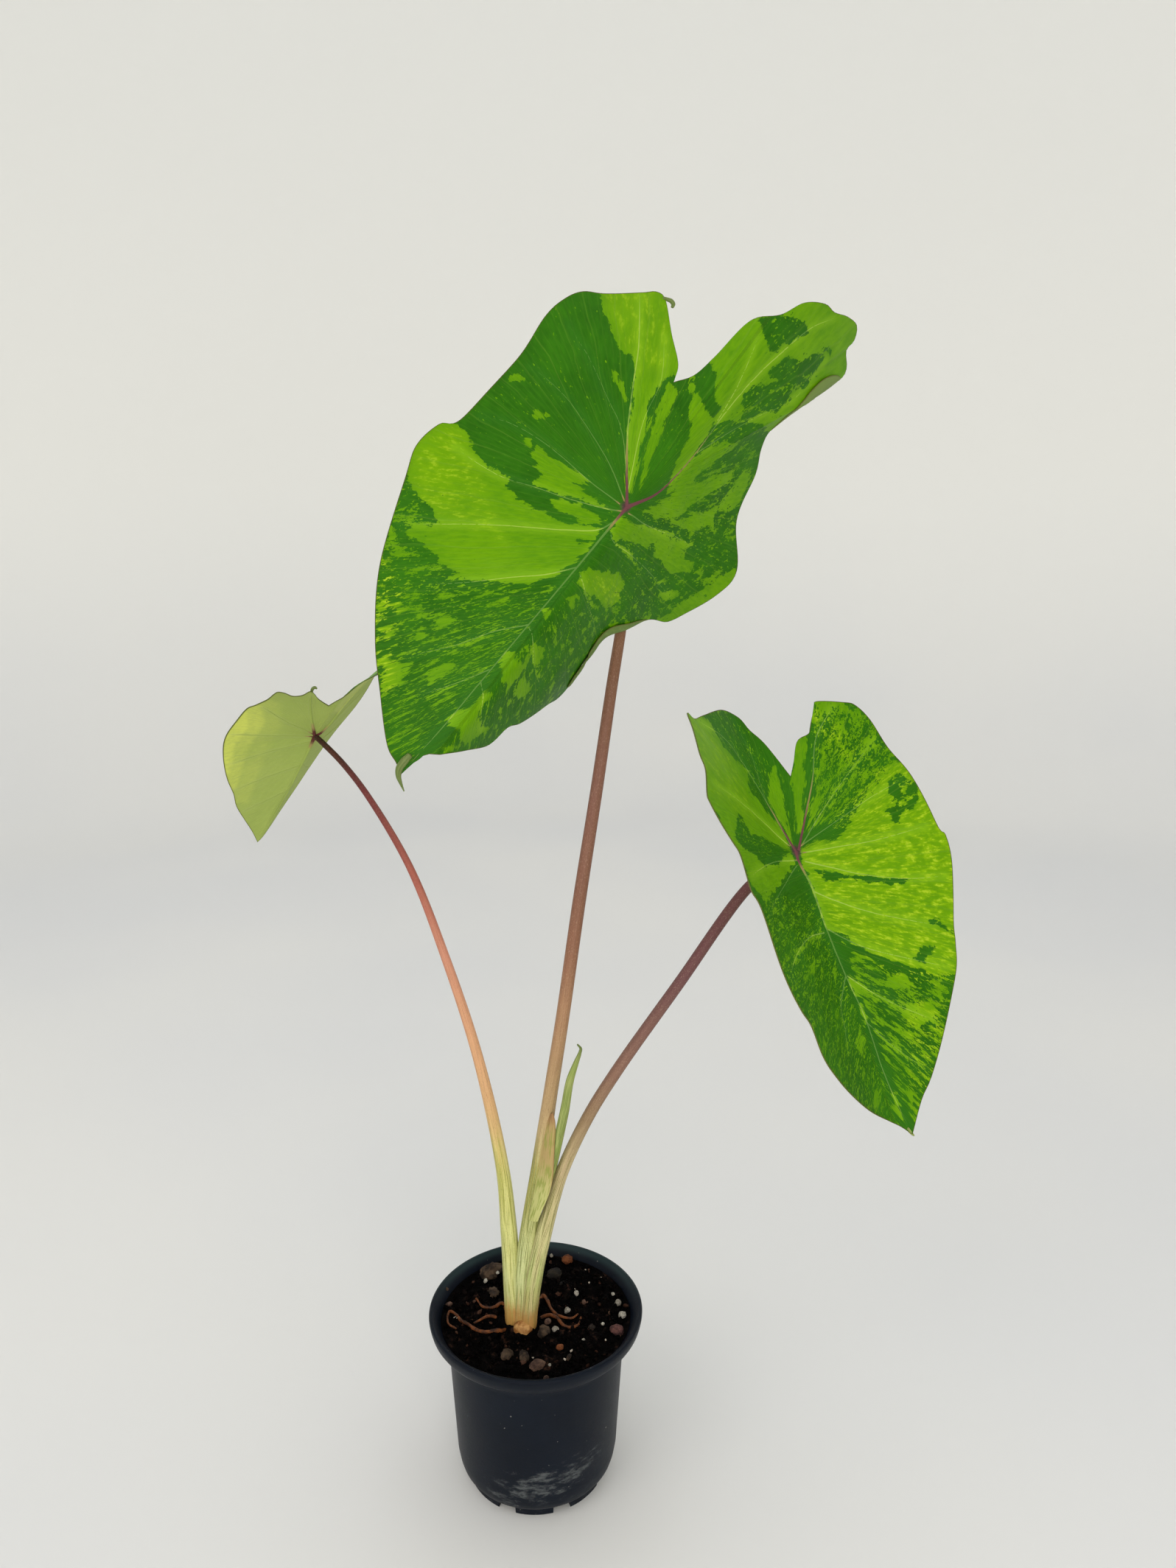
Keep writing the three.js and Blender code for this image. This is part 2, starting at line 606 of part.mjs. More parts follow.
addPiece('pot', pot(), FINISHES.pot);
addPiece('soil', soil(hollows), FINISHES.soil);
addPiece('corm', toGeometry(largestBody(cormSolid(0).subtract(stems))), FINISHES.corm);
addPiece('petiole_tall', petiole('tall', []), FINISHES.petioleTall);
addPiece('petiole_right', petiole('right', ['tall']), FINISHES.petioleRight);
addPiece('petiole_left', petiole('left', ['tall', 'right']), FINISHES.petioleLeft);
addPiece('blade_tall', blade(BLADES.tall), FINISHES.blade);
addPiece('blade_right', blade(BLADES.right), FINISHES.blade);
addPiece('blade_left', blade(BLADES.left), FINISHES.bladeUnder);
addPiece('new_leaf', newLeaf(), FINISHES.newLeaf);
GRAINS.forEach((grain, index) => {
  addPiece(grain.name, grainGeometry(index, 0), grain.finish);
});

export default plant;
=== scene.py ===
"""The looks of a potted variegated colocasia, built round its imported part.

Shapes are worked out in millimetres, in the part's own frame (+Z up, origin at the middle of
the pot's base), and written to Blender in metres. The finishes come first, then what all the
shapes share, the leaves, the stalks, the corm, the soil and the pot, and the studio last.
"""

import functools
import logging
import math
from collections.abc import Callable
from dataclasses import dataclass
from enum import Enum
from typing import Protocol

import bpy
import numpy as np
from mathutils import Euler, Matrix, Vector


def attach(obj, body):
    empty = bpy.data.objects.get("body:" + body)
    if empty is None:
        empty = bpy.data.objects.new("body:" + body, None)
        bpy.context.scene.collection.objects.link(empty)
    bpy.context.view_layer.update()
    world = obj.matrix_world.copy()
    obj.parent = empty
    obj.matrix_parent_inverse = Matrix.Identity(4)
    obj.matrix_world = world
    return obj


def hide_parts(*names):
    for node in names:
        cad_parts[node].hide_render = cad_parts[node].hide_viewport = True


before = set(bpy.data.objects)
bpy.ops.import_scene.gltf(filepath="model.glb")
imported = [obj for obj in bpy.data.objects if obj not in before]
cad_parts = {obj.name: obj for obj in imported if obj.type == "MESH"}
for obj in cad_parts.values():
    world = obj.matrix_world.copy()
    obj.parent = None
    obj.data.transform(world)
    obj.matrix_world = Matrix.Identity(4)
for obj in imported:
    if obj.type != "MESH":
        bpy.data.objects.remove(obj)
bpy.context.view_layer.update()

LOG = logging.getLogger("colocasia")
BODY = "root"
MM = 0.001

# How close to each other points are welded, in millimetres
WELD_MM = 0.002
SPIN_WELD_MM = 0.01

# How far a bar's ends are domed, as a share of its radius, and how suddenly its lip steps out
END_DOME = 0.4
LIP_SHARPNESS = 6

Colour = tuple[int, int, int]
Light = tuple[float, float, float, float]
Outline = tuple[tuple[float, float], ...]
Station = tuple[float, float, float, float]


def linear(colour: Colour) -> Light:
    """Turns a screen colour into Blender's linear light.

    Args:
        colour: Red, green and blue, up to 255.

    Returns:
        The light, with an alpha of 1.
    """
    shares = [part / 255 for part in colour]
    light = [c / 12.92 if c <= 0.04045 else ((c + 0.055) / 1.055) ** 2.4 for c in shares]
    return (light[0], light[1], light[2], 1.0)


class Value:
    """A number socket of a shader: each arithmetic operator adds its Math node."""

    def __init__(self, shader: "Shader", socket: bpy.types.NodeSocket) -> None:
        """Wraps a socket.

        Args:
            shader: The shader that the socket belongs to.
            socket: An output that gives one number.
        """
        self.shader = shader
        self.socket = socket

    def maths(self, operation: str, first: "Value | float", second: "Value | float" = 0.0) -> "Value":
        """Adds one Math node.

        Args:
            operation: The Math node's operation.
            first: Its first number.
            second: Its second number.

        Returns:
            The node's result.
        """
        node = self.shader.node("ShaderNodeMath", {"operation": operation}, {0: first, 1: second})
        return Value(self.shader, node.outputs[0])

    def __add__(self, other: "Value | float") -> "Value":
        """This value plus another."""
        return self.maths("ADD", self, other)

    __radd__ = __add__

    def __sub__(self, other: "Value | float") -> "Value":
        """This value less another."""
        return self.maths("SUBTRACT", self, other)

    def __rsub__(self, other: "Value | float") -> "Value":
        """Another value less this one."""
        return self.maths("SUBTRACT", other, self)

    def __mul__(self, other: "Value | float") -> "Value":
        """This value times another."""
        return self.maths("MULTIPLY", self, other)

    __rmul__ = __mul__

    def __abs__(self) -> "Value":
        """This value without its sign."""
        return self.maths("ABSOLUTE", self)

    def over(self, other: "Value | float") -> "Value":
        """The larger of this value and another."""
        return self.maths("MAXIMUM", self, other)

    def fraction(self) -> "Value":
        """What is left of this value past the whole number below it."""
        return self.maths("FRACT", self)

    def eased(self, start: float, end: float) -> "Value":
        """Runs smoothly from 0 to 1 as this value goes from start to end.

        Args:
            start: Where the result is 0.
            end: Where the result is 1.

        Returns:
            The share of the way.
        """
        node = self.shader.node(
            "ShaderNodeMapRange",
            {"interpolation_type": "SMOOTHSTEP"},
            {"Value": self, "From Min": start, "From Max": end},
        )
        return Value(self.shader, node.outputs["Result"])


class Shader:
    """One material's node tree, built call by call."""

    def __init__(self, name: str) -> None:
        """Starts an empty material.

        Args:
            name: The material's name.
        """
        self.material = bpy.data.materials.new(name)
        self.material.use_nodes = True
        self.tree = self.material.node_tree
        self.tree.nodes.clear()

    def node(self, kind: str, settings: dict | None = None, inputs: dict | None = None) -> bpy.types.Node:
        """Adds any node.

        Args:
            kind: The node's type.
            settings: Its properties, set first; stops are a colour ramp's places and colours.
            inputs: What each socket, by name or number, is set or linked to.

        Returns:
            The node.
        """
        node = self.tree.nodes.new(kind)
        for key, setting in (settings or {}).items():
            if key == "stops":
                elements = node.color_ramp.elements
                for index, (place, colour) in enumerate(setting):
                    element = elements[index] if index < 2 else elements.new(place)
                    element.position = place
                    element.color = linear(colour)
            else:
                setattr(node, key, setting)
        for key, given in (inputs or {}).items():
            socket = given.socket if isinstance(given, Value) else given
            if isinstance(socket, bpy.types.NodeSocket):
                self.tree.links.new(socket, node.inputs[key])
            else:
                node.inputs[key].default_value = socket
        return node

    def attribute(self, name: str) -> Value:
        """The number that the mesh stores under a name."""
        return Value(self, self.node("ShaderNodeAttribute", {"attribute_name": name}).outputs["Fac"])

    def place(self) -> bpy.types.NodeSocket:
        """Where the surface is, in metres."""
        return self.node("ShaderNodeTexCoord").outputs["Object"]

    def axes(self) -> tuple[Value, Value, Value]:
        """The place's X, Y and Z as numbers."""
        split = self.node("ShaderNodeSeparateXYZ", inputs={0: self.place()})
        return (Value(self, split.outputs[0]), Value(self, split.outputs[1]), Value(self, split.outputs[2]))

    def vector(self, x: Value | float, y: Value | float, z: Value | float) -> bpy.types.NodeSocket:
        """A vector of three numbers."""
        return self.node("ShaderNodeCombineXYZ", inputs={0: x, 1: y, 2: z}).outputs[0]

    def noise(
        self, where: bpy.types.NodeSocket, scale: float, detail: float = 2.0, roughness: float = 0.5
    ) -> Value:
        """Soft noise about 0.5.

        Args:
            where: The place that it is read at.
            scale: Lumps for each unit of length.
            detail: How many finer layers it has.
            roughness: How strong the finer layers are.

        Returns:
            The noise.
        """
        inputs = {"Vector": where, "Scale": scale, "Detail": detail, "Roughness": roughness}
        return Value(self, self.node("ShaderNodeTexNoise", inputs=inputs).outputs[0])

    def drawn_out(
        self, along: Value, across: Value, size_mm: tuple[float, float], seed: float, detail: float,
        roughness: float = 0.5,
    ) -> Value:
        """Noise whose lumps are drawn out along a blade's veins.

        Args:
            along: How far along the veins.
            across: How far across them.
            size_mm: A lump's length and width.
            seed: What sets one noise apart from the others.
            detail: How many finer layers it has.
            roughness: How strong the finer layers are.

        Returns:
            The noise.
        """
        length, width = size_mm
        where = self.vector(along * (1 / length), across * (1 / width), seed)
        return self.noise(where, 1.0, detail, roughness)

    def vein_lines(self, across: Value, gap_mm: float, shift: Value, width: float) -> Value:
        """1 on each of a blade's fine parallel veins, falling to 0 beside it."""
        return abs((across * (1 / gap_mm) + shift).fraction() - 0.5).eased(width, 0.0)

    def threads(self, scale: float, pitch: float, lumps: float, detail: float) -> Value:
        """Noise that runs lengthwise round a stalk, from the turn and the length that its mesh stores.

        Args:
            scale: How much of the noise one turn crosses.
            pitch: How much of it a millimetre of length crosses.
            lumps: Lumps for each unit of the noise.
            detail: How many finer layers it has.

        Returns:
            The noise.
        """
        turn_x, turn_y = self.attribute("turn_x") * scale, self.attribute("turn_y") * scale
        return self.noise(self.vector(turn_x, turn_y, self.attribute("along") * pitch), lumps, detail)

    def net(self, where: bpy.types.NodeSocket, scale: float) -> Value:
        """How far a place is from the lines between the cells of a mosaic."""
        node = self.node(
            "ShaderNodeTexVoronoi", {"feature": "DISTANCE_TO_EDGE"}, {"Vector": where, "Scale": scale}
        )
        return Value(self, node.outputs["Distance"])

    def colour(self, given: "Colour | bpy.types.NodeSocket") -> "Light | bpy.types.NodeSocket":
        """A colour as a Mix socket takes it."""
        return given if isinstance(given, bpy.types.NodeSocket) else linear(given)

    def mix(
        self,
        share: Value | float,
        first: "Colour | bpy.types.NodeSocket",
        second: "Colour | bpy.types.NodeSocket",
    ) -> bpy.types.NodeSocket:
        """Mixes two colours.

        Args:
            share: How much of the second there is.
            first: The first colour.
            second: The second colour.

        Returns:
            The mixed colour.
        """
        inputs = {0: share, 6: self.colour(first), 7: self.colour(second)}
        return self.node("ShaderNodeMix", {"data_type": "RGBA"}, inputs).outputs[2]

    def ramp(self, value: Value, stops: tuple[tuple[float, Colour], ...]) -> bpy.types.NodeSocket:
        """The colour that a value from 0 to 1 has on a ramp of stops."""
        return self.node("ShaderNodeValToRGB", {"stops": stops}, {0: value}).outputs[0]

    def surface(
        self,
        colour: bpy.types.NodeSocket,
        roughness: Value | float,
        height: Value,
        depth_mm: float,
        shine: float,
    ) -> bpy.types.Material:
        """Ends the material in a Principled surface.

        Args:
            colour: The base colour.
            roughness: The roughness.
            height: What raises the surface, from 0 to 1.
            depth_mm: How high 1 stands.
            shine: How strongly it reflects.

        Returns:
            The finished material.
        """
        relief = {"Strength": 1.0, "Distance": depth_mm * MM, "Height": height}
        bump = self.node("ShaderNodeBump", inputs=relief).outputs[0]
        inputs = {"Base Color": colour, "Roughness": roughness, "Normal": bump, "Specular IOR Level": shine}
        skin = self.node("ShaderNodeBsdfPrincipled", inputs=inputs)
        self.node("ShaderNodeOutputMaterial", inputs={"Surface": skin.outputs[0]})
        return self.material


class Finish(Protocol):
    """What every finish can do."""

    def material(self) -> bpy.types.Material:
        """Builds the material."""


@dataclass(frozen=True)
class LeafUpperFinish:
    """The satin upper face of a blade: patches of green, feathered and flecked along the veins."""

    name: str = "leaf_upper"
    dark: Colour = (33, 86, 4)
    deep: Colour = (50, 110, 8)
    middle: Colour = (80, 134, 3)
    lime: Colour = (100, 150, 1)
    yellow: Colour = (138, 178, 3)
    pale: Colour = (166, 194, 40)
    dull: Colour = (44, 104, 26)
    vein: Colour = (112, 152, 44)
    glow: Colour = (128, 174, 26)
    purple: Colour = (82, 50, 60)
    margin: Colour = (78, 72, 30)
    feather: float = 14.0
    edge_size: tuple[float, float] = (10.0, 4.2)
    fleck_size: tuple[float, float] = (2.1, 0.9)
    cluster_size: tuple[float, float] = (7.0, 3.0)
    streak_size: tuple[float, float] = (6.0, 1.1)
    side_vein_gap: float = 9.0
    fine_vein_gap: float = 2.4

    def material(self) -> bpy.types.Material:
        """Builds the material.

        Returns:
            The finished material.
        """
        s = Shader(self.name)
        along, across = s.attribute("along"), s.attribute("across")
        tone, speckle = s.attribute("tone"), s.attribute("speckle")
        edge = s.drawn_out(along, across, self.edge_size, 0.0, 7.0, 0.72)
        fleck = s.drawn_out(along, across, self.fleck_size, 7.0, 3.0, 0.6)
        cluster = s.drawn_out(along, across, self.cluster_size, 13.0, 2.0)
        streak = s.drawn_out(along, across, self.streak_size, 21.0, 3.0, 0.6)
        soft = s.noise(s.place(), 28.0, 3.0)
        in_patch = (tone + (edge - 0.5) * self.feather + (cluster - 0.5) * 3.0).eased(-0.2, 0.2)
        limit = 0.735 - speckle * 0.42 - (cluster - 0.5) * 0.5 + in_patch * 0.05
        flipped = (fleck - limit).eased(-0.014, 0.014)
        green = abs(in_patch - flipped)
        gap = s.attribute("vein_gap")
        dark = s.mix((soft - 0.5) * 1.6 + (streak - 0.5) * 1.4 + 0.5, self.dark, self.deep)
        dark = s.mix(gap.eased(6.5, 0.5) * 0.3, dark, self.dull)
        light = s.mix((streak - 0.5) * 2.4 + (soft - 0.5) * 1.8 + 0.42, self.lime, self.middle)
        bright = s.attribute("bright")
        light = s.mix(bright * (streak * 0.6 + cluster * 0.4).eased(0.42, 0.60), light, self.yellow)
        feathery = (streak * 0.45 + fleck * 0.35 + cluster * 0.3).eased(0.58, 0.66)
        light = s.mix(bright * feathery, light, self.pale)
        light = s.mix(gap.eased(5.0, 0.3) * 0.4, light, self.glow)
        skin = s.mix(green, dark, light)
        warp = (soft - 0.5) * 0.5
        side_veins = s.vein_lines(across, self.side_vein_gap, warp, 0.045)
        fine_veins = s.vein_lines(across, self.fine_vein_gap, warp * 2.0 + edge * 0.5, 0.16)
        skin = s.mix(side_veins * 0.16 + fine_veins * 0.06, skin, self.vein)
        at_stalk = (s.attribute("from_petiole") + (soft - 0.5) * 4.0).eased(5.5, 2.0)
        skin = s.mix(at_stalk * 0.9, skin, self.purple)
        skin = s.mix(s.attribute("rim").eased(0.7, 0.3) * 0.8, skin, self.margin)
        height = soft * 0.3 + cluster * 0.25 + streak * 0.25 - side_veins * 0.45 - fine_veins * 0.2
        roughness = 0.42 + (soft - 0.5) * 0.2 + streak * 0.1
        return s.surface(skin, roughness, height, 0.2, shine=0.07)


@dataclass(frozen=True)
class LeafUnderFinish:
    """The matte, paler underside of a blade, through which the patches show softly."""

    name: str = "leaf_under"
    shade: Colour = (150, 169, 82)
    pale: Colour = (175, 189, 100)
    yellow: Colour = (206, 215, 97)
    vein: Colour = (168, 178, 118)
    margin: Colour = (92, 100, 44)
    edge_size: tuple[float, float] = (4.0, 1.8)
    fleck_size: tuple[float, float] = (2.4, 1.1)
    side_vein_gap: float = 9.0
    fine_vein_gap: float = 2.6

    def material(self) -> bpy.types.Material:
        """Builds the material.

        Returns:
            The finished material.
        """
        s = Shader(self.name)
        along, across = s.attribute("along"), s.attribute("across")
        edge = s.drawn_out(along, across, self.edge_size, 0.0, 3.0, 0.6)
        fleck = s.drawn_out(along, across, self.fleck_size, 7.0, 2.0)
        soft = s.noise(s.place(), 26.0, 3.0)
        warp = (soft - 0.5) * 0.5
        patch = (s.attribute("tone") + (edge - 0.5) * 12.0).eased(-1.8, 1.8)
        flipped = (fleck + s.attribute("speckle") * 0.3 - 0.72).eased(-0.03, 0.03)
        light = abs(patch - flipped * 0.6) * 0.65 + (soft - 0.5) * 0.8 + 0.2
        skin = s.mix(light, self.shade, self.pale)
        skin = s.mix((s.attribute("bright") * (edge + soft)).eased(0.05, 1.1) * 0.95, skin, self.yellow)
        side_veins = s.vein_lines(across, self.side_vein_gap, warp, 0.05)
        fine_veins = s.vein_lines(across, self.fine_vein_gap, warp * 2.0, 0.14)
        skin = s.mix(side_veins * 0.14 + fine_veins * 0.08, skin, self.vein)
        skin = s.mix(s.attribute("vein_gap").eased(2.5, 0.3) * 0.2, skin, self.vein)
        skin = s.mix(s.attribute("rim").eased(1.0, 0.3), skin, self.margin)
        height = side_veins * 0.5 + fine_veins * 0.3 + s.noise(s.place(), 800.0, 2.0) * 0.3 + soft * 0.3
        return s.surface(skin, 0.6 + soft * 0.12, height, 0.2, shine=0.18)


# The folded-over margin wears a darker copy of the underside finish: painted shade, not a colour of its own.
SHADED_FOLDED_EDGE = LeafUnderFinish(
    "leaf_folded_edge_painted_shade", shade=(88, 112, 52), pale=(110, 132, 66), yellow=(124, 142, 62), vein=(128, 138, 92)
)


@dataclass(frozen=True)
class VeinFinish:
    """A raised vein: it takes the patch's tone that it crosses, and turns purple-brown at the petiole."""

    name: str
    on_dark: Colour
    on_lime: Colour
    tan: Colour
    purple: Colour

    def material(self) -> bpy.types.Material:
        """Builds the material.

        Returns:
            The finished material.
        """
        s = Shader(self.name)
        purple = s.attribute("purple")
        grain = s.noise(s.place(), 300.0, 3.0)
        in_lime = (s.attribute("tone") + (grain - 0.5) * 6.0).eased(-1.5, 1.5)
        skin = s.mix(in_lime, self.on_dark, self.on_lime)
        skin = s.mix((purple + (grain - 0.5) * 0.3).eased(0.0, 0.5), skin, self.tan)
        skin = s.mix((purple + (grain - 0.5) * 0.4).eased(0.45, 1.0), skin, self.purple)
        return s.surface(skin, 0.55 + grain * 0.15, grain, 0.06, shine=0.08)


@dataclass(frozen=True)
class PetioleFinish:
    """A petiole's skin: colours up its height, with streaks that follow its length."""

    name: str
    stops: tuple[tuple[float, Colour], ...]
    streak: Colour
    green: Colour
    fibre: Colour = (92, 62, 46)
    pale_fleck: Colour = (212, 188, 158)
    foot: Colour = (176, 124, 62)

    def material(self) -> bpy.types.Material:
        """Builds the material.

        Returns:
            The finished material.
        """
        s = Shader(self.name)
        _, _, z = s.axes()
        bands = s.threads(1.6, 0.008, 1.6, 2.0)
        threads = s.threads(5.0, 0.02, 2.2, 2.0)
        flecks = s.threads(4.0, 0.35, 2.6, 2.0)
        mottle = s.noise(s.place(), 60.0, 3.0) - 0.5
        skin = s.ramp(z * (1 / HEIGHT_UNIT) + mottle * 0.03 + (bands - 0.5) * 0.04, self.stops)
        low = z.eased(0.262, 0.215)
        skin = s.mix(bands.eased(0.44, 0.60) * low * 0.6, skin, self.streak)
        skin = s.mix(threads.eased(0.48, 0.62) * low * 0.8, skin, self.green)
        skin = s.mix(threads.eased(0.50, 0.66) * 0.32, skin, self.fibre)
        skin = s.mix(flecks.eased(0.60, 0.70) * 0.35, skin, self.fibre)
        skin = s.mix(flecks.eased(0.42, 0.32) * 0.22, skin, self.pale_fleck)
        foot = (z + mottle * 0.03 + (threads - 0.5) * 0.04).eased(0.134, 0.115)
        skin = s.mix(foot * 0.85, skin, self.foot)
        height = threads * 0.6 + flecks * 0.25 + bands * 0.4
        return s.surface(skin, 0.40 + flecks * 0.2, height, 0.35, shine=0.25)


@dataclass(frozen=True)
class NewLeafFinish:
    """The rolled new leaf: fresh green with fine lines along it."""

    name: str = "new_leaf_skin"
    green: Colour = (112, 128, 62)
    pale: Colour = (158, 166, 98)
    fresh: Colour = (128, 150, 66)
    tip: Colour = (70, 92, 44)

    def material(self) -> bpy.types.Material:
        """Builds the material.

        Returns:
            The finished material.
        """
        s = Shader(self.name)
        lines = s.threads(3.0, 0.03, 2.0, 3.0)
        soft = s.noise(s.place(), 90.0, 2.0)
        skin = s.mix(lines.eased(0.38, 0.62), self.green, self.pale)
        skin = s.mix(soft.eased(0.45, 0.7) * 0.4, skin, self.fresh)
        _, _, z = s.axes()
        skin = s.mix(z.eased(0.300, 0.312) * 0.6, skin, self.tip)
        return s.surface(skin, 0.42 + soft * 0.15, lines, 0.2, shine=0.25)


@dataclass(frozen=True)
class SheathFinish:
    """The edge of the petiole's sheath: papery brown at its lip, pale green inside."""

    name: str = "sheath_skin"
    pale: Colour = (186, 186, 118)
    straw: Colour = (176, 152, 100)
    green: Colour = (134, 146, 62)
    dry: Colour = (158, 120, 80)
    brown: Colour = (120, 84, 54)

    def material(self) -> bpy.types.Material:
        """Builds the material.

        Returns:
            The finished material.
        """
        s = Shader(self.name)
        lip = s.attribute("lip")
        lines = s.noise(s.vector(lip * 4.0, 0.0, s.attribute("along") * 0.05), 2.0, 3.0)
        _, _, z = s.axes()
        skin = s.mix(z.eased(0.205, 0.235), self.pale, self.straw)
        skin = s.mix(lines.eased(0.46, 0.62) * 0.75, skin, self.green)
        dry_tip = (z + (lines - 0.5) * 0.012).eased(0.250, 0.262)
        dried = dry_tip.over(lip.eased(0.86, 1.0) * z.eased(0.2, 0.23) * 0.6)
        skin = s.mix(dried, skin, self.dry)
        skin = s.mix(dried * lines.eased(0.5, 0.62) * 0.6, skin, self.brown)
        return s.surface(skin, 0.55 + lines * 0.2, lines, 0.3, shine=0.2)


@dataclass(frozen=True)
class PotFinish:
    """Blue-black moulded plastic with a soft sheen, a painted teal highlight on the back half of the rim,
    and pale scuffs low down.
    """

    name: str = "pot_plastic"
    plastic: Colour = (7, 14, 25)
    worn: Colour = (14, 22, 34)
    # A teal tint for the back half of the rim's top: a painted highlight.
    rim: Colour = (36, 52, 54)
    dust: Colour = (104, 108, 108)
    speck: Colour = (150, 148, 140)
    scuff_centre: tuple[float, float, float] = (0.010, -0.051, 0.030)

    def material(self) -> bpy.types.Material:
        """Builds the material.

        Returns:
            The finished material.
        """
        s = Shader(self.name)
        x, y, z = s.axes()
        cloud = s.noise(s.place(), 22.0, 4.0)
        grain = s.noise(s.place(), 700.0, 3.0)
        skin = s.mix(cloud.eased(0.4, 0.72) * 0.5, self.plastic, self.worn)
        # Painted highlight: the top of the rim's back half is tinted teal.
        skin = s.mix(z.eased(0.1135, 0.117) * y.eased(0.0, 0.04) * 0.8, skin, self.rim)
        cx, cy, cz = self.scuff_centre
        front = (y + 0.02).eased(0.0, -0.02)
        slanted = abs(z - cz - (x - cx) * 0.30).eased(0.022, 0.002)
        band = slanted * abs(x - cx).eased(0.060, 0.02) * front
        smear = s.noise(s.vector(x * 1.0, y * 1.0, z * 2.6), 96.0, 8.0, 0.7)
        rubbed = (smear + band * 0.20).eased(0.62, 0.86) * band.eased(0.0, 0.4)
        skin = s.mix(rubbed * 0.62, skin, self.dust)
        foot = z.eased(0.03, 0.0) * smear.eased(0.5, 0.8)
        skin = s.mix(foot * 0.4, skin, self.dust)
        specks = s.noise(s.place(), 420.0, 1.0).eased(0.765, 0.80)
        skin = s.mix(specks * 0.6, skin, self.speck)
        roughness = 0.34 + cloud * 0.14 + rubbed * 0.25 + grain * 0.08
        return s.surface(skin, roughness, grain * 0.5 + smear * 0.5, 0.10, shine=0.12)


@dataclass(frozen=True)
class SoilFinish:
    """Moist potting mix: near black, with purple-brown and rusty grains."""

    name: str = "soil_mix"
    stops: tuple[tuple[float, Colour], ...] = (
        (0.0, (2, 2, 2)),
        (0.55, (7, 5, 5)),
        (0.74, (21, 15, 13)),
        (0.86, (62, 40, 31)),
        (0.93, (94, 73, 62)),
        (0.985, (196, 184, 168)),
    )

    def material(self) -> bpy.types.Material:
        """Builds the material.

        Returns:
            The finished material.
        """
        s = Shader(self.name)
        tint = s.attribute("tint")
        grain = s.noise(s.place(), 900.0, 4.0)
        lumps = s.noise(s.place(), 240.0, 3.0)
        skin = s.ramp(tint + (grain - 0.5) * 0.16, self.stops)
        height = grain * 0.6 + lumps * 0.6
        return s.surface(skin, 0.62 + grain * 0.3, height, 0.6, shine=0.02)


@dataclass(frozen=True)
class GrainFinish:
    """A stone, a piece of bark or a perlite grain."""

    name: str
    light: Colour
    shade: Colour
    roughness: float = 0.8
    pore_depth_and_shade: float = 0.5

    def material(self) -> bpy.types.Material:
        """Builds the material.

        Returns:
            The finished material.
        """
        s = Shader(self.name)
        lumps = s.noise(s.place(), 180.0, 4.0)
        pits = s.net(s.place(), 900.0)
        skin = s.mix(lumps.eased(0.36, 0.66), self.shade, self.light)
        # Painted shade: the pits between the lumps are darkened towards the shade colour.
        skin = s.mix(pits.eased(0.12, 0.0) * self.pore_depth_and_shade * 0.5, skin, self.shade)
        height = lumps * 0.7 + pits.eased(0.0, 0.2) * self.pore_depth_and_shade
        return s.surface(skin, self.roughness - lumps * 0.15, height, 0.5, shine=0.2)


@dataclass(frozen=True)
class RootFinish:
    """The corm's and roots' orange-brown skin."""

    name: str
    light: Colour
    shade: Colour

    def material(self) -> bpy.types.Material:
        """Builds the material.

        Returns:
            The finished material.
        """
        s = Shader(self.name)
        lumps = s.noise(s.place(), 260.0, 4.0)
        rings = s.noise(s.vector(0.0, 0.0, s.attribute("along") * 0.8), 1.4, 2.0)
        skin = s.mix((lumps * 0.7 + rings * 0.3).eased(0.36, 0.62), self.shade, self.light)
        height = lumps * 0.6 + rings * 0.4
        return s.surface(skin, 0.5 + lumps * 0.2, height, 0.35, shine=0.2)


@dataclass(frozen=True)
class StudioFinish:
    """The pale, matte paper of the floor and backdrop."""

    name: str = "studio_paper"
    floor: Colour = (231, 231, 231)
    floor_light: Colour = (237, 236, 233)
    # The wall's lighter tint is painted light on the same paper as the floor.
    wall: Colour = (249, 248, 243)

    def material(self) -> bpy.types.Material:
        """Builds the material.

        Returns:
            The finished material.
        """
        s = Shader(self.name)
        soft = s.noise(s.place(), 1.2, 2.0)
        _, _, z = s.axes()
        skin = s.mix(soft.eased(0.3, 0.7), self.floor, self.floor_light)
        # Painted light: the paper turns lighter and warmer up the wall.
        skin = s.mix(z.eased(0.05, 0.9), skin, self.wall)
        return s.surface(skin, 0.9, soft, 0.05, shine=0.1)


HEIGHT_UNIT = 0.7
PURPLE_BROWN: Colour = (104, 62, 66)
UPPER_VEIN = VeinFinish("vein_upper", (88, 130, 54), (148, 180, 66), (140, 128, 76), PURPLE_BROWN)
UNDER_VEIN = VeinFinish("vein_under", (154, 172, 86), (176, 189, 102), (158, 142, 92), (92, 48, 46))
PETIOLE_TALL = PetioleFinish(
    "petiole_tan",
    (
        (0.172, (196, 180, 118)),
        (0.200, (198, 205, 142)),
        (0.231, (204, 210, 148)),
        (0.279, (166, 162, 90)),
        (0.313, (162, 152, 80)),
        (0.350, (184, 160, 114)),
        (0.461, (164, 125, 92)),
        (0.514, (140, 97, 74)),
        (0.567, (130, 89, 70)),
        (0.669, (130, 88, 74)),
        (0.800, (118, 82, 56)),
        (0.886, (104, 66, 54)),
    ),
    (200, 204, 142),
    (122, 138, 56),
)
PETIOLE_RIGHT = PetioleFinish(
    "petiole_mauve",
    (
        (0.172, (192, 176, 114)),
        (0.214, (180, 190, 118)),
        (0.254, (200, 196, 138)),
        (0.316, (181, 160, 122)),
        (0.370, (146, 121, 90)),
        (0.414, (134, 100, 84)),
        (0.496, (106, 68, 70)),
        (0.580, (104, 62, 64)),
    ),
    (204, 190, 140),
    (126, 134, 60),
)
